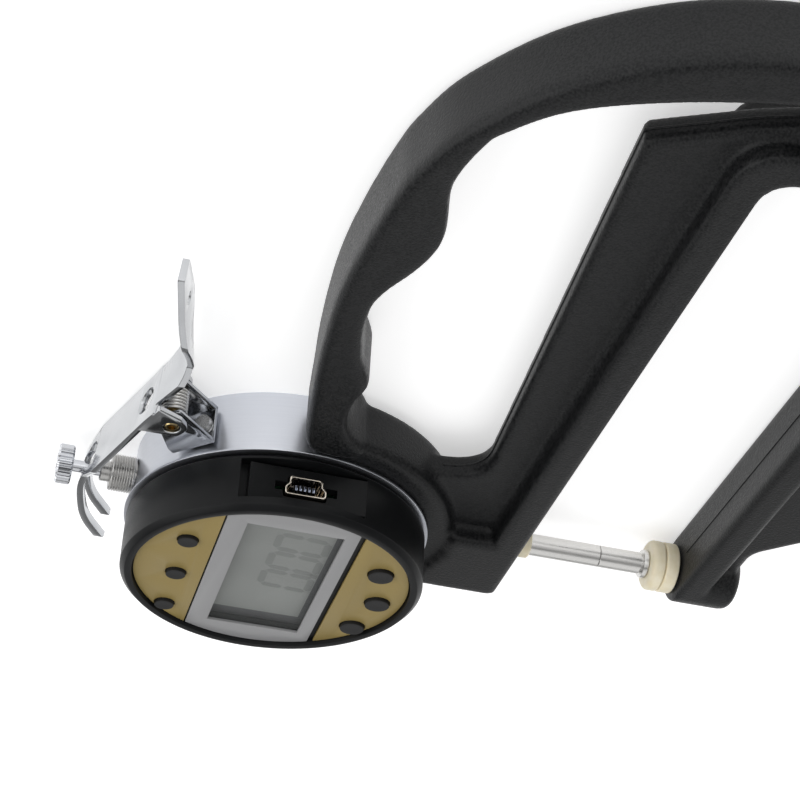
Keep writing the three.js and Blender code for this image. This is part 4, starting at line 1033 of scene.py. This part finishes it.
makeCollar()
makeKnob()
makeRods()
makeBush()
makeContacts()
print("spindle line")


# lifting lever: one stamped sheet, forked at the rod and bent, canted and twisted along its blade
pivot = (28.486, 25.493)
lever = {
    "sheet": 1.2, "half": 5.4, "slope": -0.32, "standoff": 4.8, "bend": 2.4, "bendX": 43.086,
    "bladeSlope": 0.225, "endX": 69.686, "taper": 15, "endHalf": 2.4, "neckHalf": 3.4, "neckX": 2.6,
    "backHalf": 4.5, "waistHalf": 1.5, "waist": 10.5, "forkX": -19.4, "forkHalf": 3.5, "slotHalf": 1.9,
    "hole": 2.65, "innerX": 5.2, "outerX": 27.486, "bladeHole": 1.2, "bladeHoleX": 61.886,
    "cants": (0.11, -0.13, 0.09), "edge": 0.22, "step": 1.1, "corner": 0.6,
    "pocket": [(62.3, -6, 0.22), (63.6, -4.2, 0.98)],
    "forkTop": [(-19.4, 33.29), (-14.74, 35.81), (-9.12, 37.49), (0, 38.57)],
    "forkUnder": [(-18.24, 32.21), (-13.97, 34.61), (-9.12, 36.17), (0, 37.37)],
    # the ears below the sheet, as distances from the pivot
    "ear": 1.2, "earHole": 1.6, "earRim": 0.25, "earLeft": 2.8, "earRight": 5.2, "earProud": 0.03,
    "earTuck": 0.25, "earCorner": 0.3,
    "earRing": [(-2.7, -1.62, 1.6), (0.54, -3.1, 1.9), (2.7, -1.35, 1.35)],
}
pivotPlace = (pivot[0] * mm, pivot[1] * mm)


def pivotBore(radius):
    return barPiece("pivotBore", radius * mm, 0, 15 * mm, "z", pivotPlace, 48)


def plateAt(x):
    return pivot[1] + lever["standoff"] + lever["slope"] * (x - pivot[0])


def bladeAt(x):
    return plateAt(lever["bendX"]) + lever["bladeSlope"] * (x - lever["bendX"])


def easing(x, low, high):
    t = min(max((x - low) / (high - low), 0), 1)
    return t * t * (3 - 2 * t)


def cantAt(x):
    first, middle, last = lever["cants"]
    bent = first + (middle - first) * easing(x, pivot[0], lever["bendX"])
    return bent + (last - bent) * easing(x, lever["bendX"], lever["bladeHoleX"])


def heightLine(points, drop):
    # the sheet's height along x, from the fork's end to the blade's end
    l = lever
    line = [Vector(points[0])] + curveThrough(points, 8)
    bend, reach = l["bendX"], l["bend"]
    ends = [Vector((bend - reach, plateAt(bend - reach) - drop)), Vector((bend, plateAt(bend) - drop)),
            Vector((bend + reach, bladeAt(bend + reach) - drop))]
    for k in range(13):
        t = k / 12
        line.append(ends[0] * (1 - t) ** 2 + 2 * ends[1] * t * (1 - t) + ends[2] * t ** 2)
    line.append(Vector((l["endX"], bladeAt(l["endX"]) - drop)))
    return line


def heightOn(line, x):
    for here, there in zip(line, line[1:]):
        if x <= there.x:
            break
    return here.y + (there.y - here.y) * (x - here.x) / (there.x - here.x)


def leverPlan():
    l = lever
    start = l["innerX"] + l["hole"]
    fork = [(l["forkX"] - l["sheet"], l["forkHalf"]), (l["innerX"] - l["hole"], l["forkHalf"]),
            (start, l["half"])]
    neckX = pivot[0] + l["neckX"] + l["sheet"]
    before = l["bendX"] - l["sheet"] * 3
    blade = [(l["endX"] - l["taper"], l["half"]), (l["endX"], l["endHalf"])]
    back = [*fork, (neckX, l["half"]), (neckX, l["backHalf"]), (before, l["backHalf"]),
            (l["bendX"], l["half"]), *blade]
    front = [*fork, (neckX, l["half"]), (neckX, l["neckHalf"]), (before, l["neckHalf"]),
             (l["bendX"], l["waistHalf"]), (l["bendX"] + l["waist"] / 2, l["neckHalf"]),
             (l["bendX"] + l["waist"], l["half"]), *blade]
    corners = [(x, v, l["corner"]) for x, v in back] + [(x, -v, l["corner"]) for x, v in front[::-1]]
    return roundedCorners(scaled(corners), 4)


def makeLever():
    l = lever
    sheet = platePiece("liftingLever", leverPlan(), 0, l["sheet"] * mm)
    holes = [(l["innerX"], l["hole"]), (l["outerX"], l["hole"]), (l["bladeHoleX"], l["bladeHole"])]
    slot = [(-far / mm, -l["slotHalf"], -1), (l["innerX"], l["slotHalf"], 3)]
    cutAway(sheet, blockPiece("slot", *scaled(slot)), blockPiece("edgePocket", *scaled(l["pocket"])),
            *[barPiece("leverHole", r * mm, -mm, 3 * mm, "z", (x * mm, 0), 48) for x, r in holes])
    soften(sheet, l["edge"] * mm)
    editAll(sheet)
    x = l["forkX"] - 1
    while x < l["endX"]:
        bpy.ops.mesh.select_all(action="SELECT")
        bpy.ops.mesh.bisect(plane_co=(x * mm, 0, 0), plane_no=(1, 0, 0))
        x += l["step"]
    leaveEdit()
    drop = l["sheet"]
    start = l["innerX"] + l["hole"]
    topLine = heightLine([*l["forkTop"], (start, plateAt(start))], 0)
    lowLine = heightLine([*l["forkUnder"], (start, plateAt(start) - drop)], drop)
    for vertex in sheet.data.vertices:
        x, across, t = vertex.co.x / mm, -vertex.co.y / mm, vertex.co.z / mm / drop
        top, under = heightOn(topLine, x), heightOn(lowLine, x)
        vertex.co = (x * mm, (under + (top - under) * t + cantAt(x) * across) * mm, spindleZ + across * mm)
    sheet.data.update()
    ears = []
    for side in (1, -1):
        outward = side * (l["half"] - l["ear"] / 2)
        left, right = pivot[0] - l["earLeft"], pivot[0] + l["earRight"]
        tops = [plateAt(x) + cantAt(x) * outward - l["earTuck"] for x in (left, right)]
        ring = roundedCorners(scaled([
            (left, tops[0], l["earCorner"]), *[(pivot[0] + x, pivot[1] + y, r) for x, y, r in l["earRing"]],
            (right, tops[1], l["earCorner"])]), 8)
        inner, outer = sorted(spindleZ + side * reach * mm
                              for reach in (l["half"] - l["ear"], l["half"] + l["earProud"]))
        ear = platePiece("leverEar", ring, inner, outer)
        cutAway(ear, pivotBore(l["earHole"]))
        soften(ear, l["earRim"] * mm, 3)
        ears.append(ear)
    whole = joinUp(sheet, *ears)
    dress(whole, "lever", "lifting_lever", body="lever", slot="chrome", angle=35)
    print("lifting lever", len(whole.data.polygons))


makeLever()


# bracket: a bent U with pointed ears, its pin and the coil round the pin
bracket = {
    "angle": 44, "foot": 28.7, "reach": 11.4, "right": -4.4, "left": 4.9, "low": 3.0, "high": 10.8,
    "sheet": 0.8, "baseInset": 0.1, "earRim": 0.15, "pin": 1.3, "pinLow": 1.6, "pinHigh": 12.2,
    "pinEdge": 0.2, "pinBore": 0.75, "pinBoreDepth": 1.6, "coil": 2.3, "wire": 0.3, "turns": 7,
    "pitch": 0.68, "tail": 0.8,
}


def onBracket(out, across):
    a = radians(bracket["angle"])
    return ((out * cos(a) - across * sin(a)) * mm, (out * sin(a) + across * cos(a)) * mm)


def makeBracket():
    b = bracket
    tip = b["foot"] + b["reach"]
    corner = b["sheet"] * mm
    parts = []
    for low in (b["low"], b["high"] - b["sheet"]):
        ring = roundedCorners([(*onBracket(out, across), r * corner) for out, across, r in (
            (b["foot"], b["right"], 0.3), (tip, b["right"], 1), (tip, b["left"] / 4, 2),
            (b["foot"] + b["sheet"] * 2, b["left"], 1), (b["foot"], b["left"], 0.3))], 6)
        ear = platePiece("leverBracket", ring, low * mm, (low + b["sheet"]) * mm)
        cutAway(ear, pivotBore(lever["earHole"]))
        soften(ear, b["earRim"] * mm)
        parts.append(ear)
    foot, front = b["foot"], b["foot"] + b["sheet"]
    base = platePiece("bracketBase", [Vector(onBracket(*p)) for p in (
        (foot, b["right"]), (front, b["right"]), (front, b["left"]), (foot, b["left"]))],
        (b["low"] + b["baseInset"]) * mm, (b["high"] - b["baseInset"]) * mm)
    soften(base, b["earRim"] * mm)
    # the bracket takes the darker chrome, painted shade for the dark reflections on its ears
    dress(joinUp(*parts, base), "bracket", "lever_bracket", slot="chrome")


def makePin():
    b = bracket
    r, edge = b["pin"] * mm, b["pinEdge"] * mm
    low, high = b["pinLow"] * mm, b["pinHigh"] * mm
    bore, deep = b["pinBore"] * mm, b["pinBoreDepth"] * mm
    pin = turnPiece("leverPin", [
        (core, low + deep), (bore, low + deep), (bore, low), (r - edge, low), (r, low + edge),
        (r, high - edge), (r - edge, high), (bore, high), (bore, high - deep), (core, high - deep),
    ], centre=(*pivotPlace, 0), sides=64)
    dress(pin, "brass", "lever_pin", slot="bronze")


def makeLeverSpring():
    b = bracket
    perTurn = 24
    count = b["turns"] * perTurn
    radius = b["coil"] * mm
    start = spindleZ - b["turns"] * b["pitch"] * mm / 2
    turnOff = radians(b["angle"]) + pi / 2
    points = []
    for i in range(count + 1):
        a = 2 * pi * i / perTurn + turnOff
        points.append(Vector((pivotPlace[0] + radius * cos(a), pivotPlace[1] + radius * sin(a),
                              start + b["pitch"] * mm * i / perTurn)))
    for end, way in ((0, 1), (-1, -1)):
        back = Vector((sin(turnOff), -cos(turnOff), 0)) * way * b["tail"] * mm
        tail = [points[end] + back * share for share in (1, 2, 3)]
        points = tail[::-1] + points if end == 0 else points + tail
    coil = wirePiece("leverSpring", points, b["wire"] * mm)
    dress(coil, "steel", "lever_spring", angle=0)


makeBracket()
makePin()
makeLeverSpring()
print("bracket")


# return spring: wound wire round the spindle at one length, where the real one closes up as the spindle
# rises
returnSpring = inMm({"radius": 2.7, "wire": 0.25, "anchor": 24.675}, turns=9, perTurn=24, keep=0.477)


def makeReturnSpring():
    r = returnSpring
    low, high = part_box("return_spring")
    start, end = low.y + r["wire"], high.y - r["wire"]
    points = []
    count = r["turns"] * r["perTurn"]
    for i in range(count + 1):
        a = 2 * pi * i / r["perTurn"]
        points.append(Vector((r["radius"] * cos(a), start + (end - start) * i / count,
                              spindleZ - r["radius"] * sin(a))))
    coil = wirePiece("returnSpring", points, r["wire"])
    dress(coil, "steel", "return_spring", angle=0)
    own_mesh(coil)


makeReturnSpring()


# back cover: a turned plate with four countersunk screws
cover = inMm({
    "radius": 25.9, "thickness": 1.4, "edge": 0.3, "head": 1.8, "shank": 1, "fit": 0.3, "sink": 0.1,
    "recess": 0.6, "rim": 0.08, "headEdge": 0.1,
})


def makeCover():
    c = cover
    plate = turnPiece("backCover", [
        (wideCore, 0), (c["radius"] - c["edge"], 0), (c["radius"], c["edge"]),
        (c["radius"], c["thickness"]), (wideCore, c["thickness"]),
    ], sides=192)
    for i in range(1, 5):
        low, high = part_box(f"cover_screw_{i}")
        x, y = (low.x + high.x) / 2, (low.y + high.y) / 2
        wide = c["head"] + c["fit"]
        sinkEnd = c["sink"] + c["thickness"] / 3 + c["fit"]
        cutAway(plate, turnPiece("sink", [
            (core, -mm), (wide, -mm), (wide, sinkEnd), (c["shank"] + c["fit"], c["thickness"]),
            (c["shank"] + c["fit"], 2 * c["thickness"]), (core, 2 * c["thickness"]),
        ], centre=(x, y, 0), sides=48))
        screw = turnPiece(f"coverScrew{i}", [
            (core, c["sink"]), (c["head"] - c["headEdge"], c["sink"]),
            (c["head"], c["sink"] + c["headEdge"]), (c["head"], sinkEnd - c["fit"]),
            (c["shank"], c["thickness"]), (c["shank"], high.z), (core, high.z),
        ], centre=(x, y, 0), sides=48)
        crossRecess(screw, c["head"], c["recess"], x, y, c["sink"])
        dress(screw, "steel", f"cover_screw_{i}")
    dress(plate, "satin", "back_cover", rim=c["rim"])
    print("back cover")


makeCover()


# carried over nodes: welded and split at their sharp edges, with the finish of their slot
slotFinish = {row["node"]: row["material_slot"] for row in frame["record"]["subparts"]}


def dressNodes():
    for name, node in frame["nodes"].items():
        node.data.materials.clear()
        node.data.materials.append(finishes[slotFinish[name]])
        weld = node.modifiers.new("weld", "WELD")
        weld.merge_threshold = weldGap
        split = node.modifiers.new("split", "EDGE_SPLIT")
        split.split_angle = radians(32)
        for polygon in node.data.polygons:
            polygon.use_smooth = True


dressNodes()
print("nodes dressed")


# stage: a pale floor, soft lamps and a white surround
stageSettings = {
    "floorSize": 6,
    "floorColour": (0.86, 0.86, 0.86),
    "floorDrop": 0.05 * mm,
    "floorGlow": 0.5,
    "skyLight": 0.45,
    "skyTop": 0.22,
    "skyEdges": (0.1, 0.5),
}


def makeStage():
    s = stageSettings
    bpy.ops.mesh.primitive_plane_add(size=s["floorSize"], location=(0, 0, -s["floorDrop"]))
    floor = bpy.context.active_object
    floor.name = "floor"
    look = newFinish("floorPaper", s["floorColour"], 0.9)
    look.node_tree.nodes["Principled BSDF"].inputs["Emission Color"].default_value = (1, 1, 1, 1)
    path = addNode(look, "LightPath", (-600, -400)).outputs
    seen = addNode(look, "Math", (-450, -400), {0: path["Is Camera Ray"], 1: path["Is Glossy Ray"]},
                   operation="MAXIMUM")
    glow = addNode(look, "Math", (-300, -400), {0: seen.outputs[0], 1: s["floorGlow"]},
                   operation="MULTIPLY")
    drive(look, glow.outputs[0], "Emission Strength")
    floor.data.materials.append(look)
    world = bpy.data.worlds.new("studio")
    bpy.context.scene.world = world
    world.use_nodes = True
    background = world.node_tree.nodes["Background"]
    background.inputs["Color"].default_value = (1, 1, 1, 1)
    path = addNode(world, "LightPath", (-1000, -300)).outputs
    way = addNode(world, "TexCoord", (-1200, 0)).outputs["Generated"]
    rise = addNode(world, "SeparateXYZ", (-1000, 0), {0: way}).outputs["Z"]
    edgeLow, edgeHigh = s["skyEdges"]
    # reflections see a white horizon and a dim room above
    room = addNode(world, "MapRange", (-800, 0), {
        "Value": rise, "From Min": edgeLow, "From Max": edgeHigh, "To Min": 1, "To Max": s["skyTop"]})
    light = addNode(world, "MapRange", (-600, 0), {
        "Value": path["Is Glossy Ray"], "To Min": s["skyLight"], "To Max": room.outputs["Result"]})
    seen = addNode(world, "Math", (-600, -300), {0: path["Is Camera Ray"], 1: path["Is Transmission Ray"]},
                   operation="MAXIMUM")
    level = addNode(world, "MapRange", (-400, 0), {
        "Value": seen.outputs[0], "To Min": light.outputs["Result"], "To Max": 1})
    world.node_tree.links.new(level.outputs["Result"], background.inputs["Strength"])


def makeLamp(name, place, target, size, watts):
    data = bpy.data.lights.new(name, "AREA")
    data.shape = "DISK"
    data.size = size
    data.energy = watts
    lamp = newObject(name, data)
    lamp.location = place
    lamp.rotation_euler = (Vector(target) - Vector(place)).to_track_quat("-Z", "Y").to_euler()


makeStage()
makeLamp("sideLamp", (0.25, 1.0, 0.55), (0.05, 0, 0), 1.3, 6)
makeLamp("backLamp", (1.0, 0.1, 0.5), (0.05, 0, 0), 1.3, 2.5)
makeLamp("topLamp", (-0.3, -0.3, 1.1), (0.05, 0, 0), 1.5, 4)
bpy.context.scene.view_settings.view_transform = "Standard"
print("stage set")
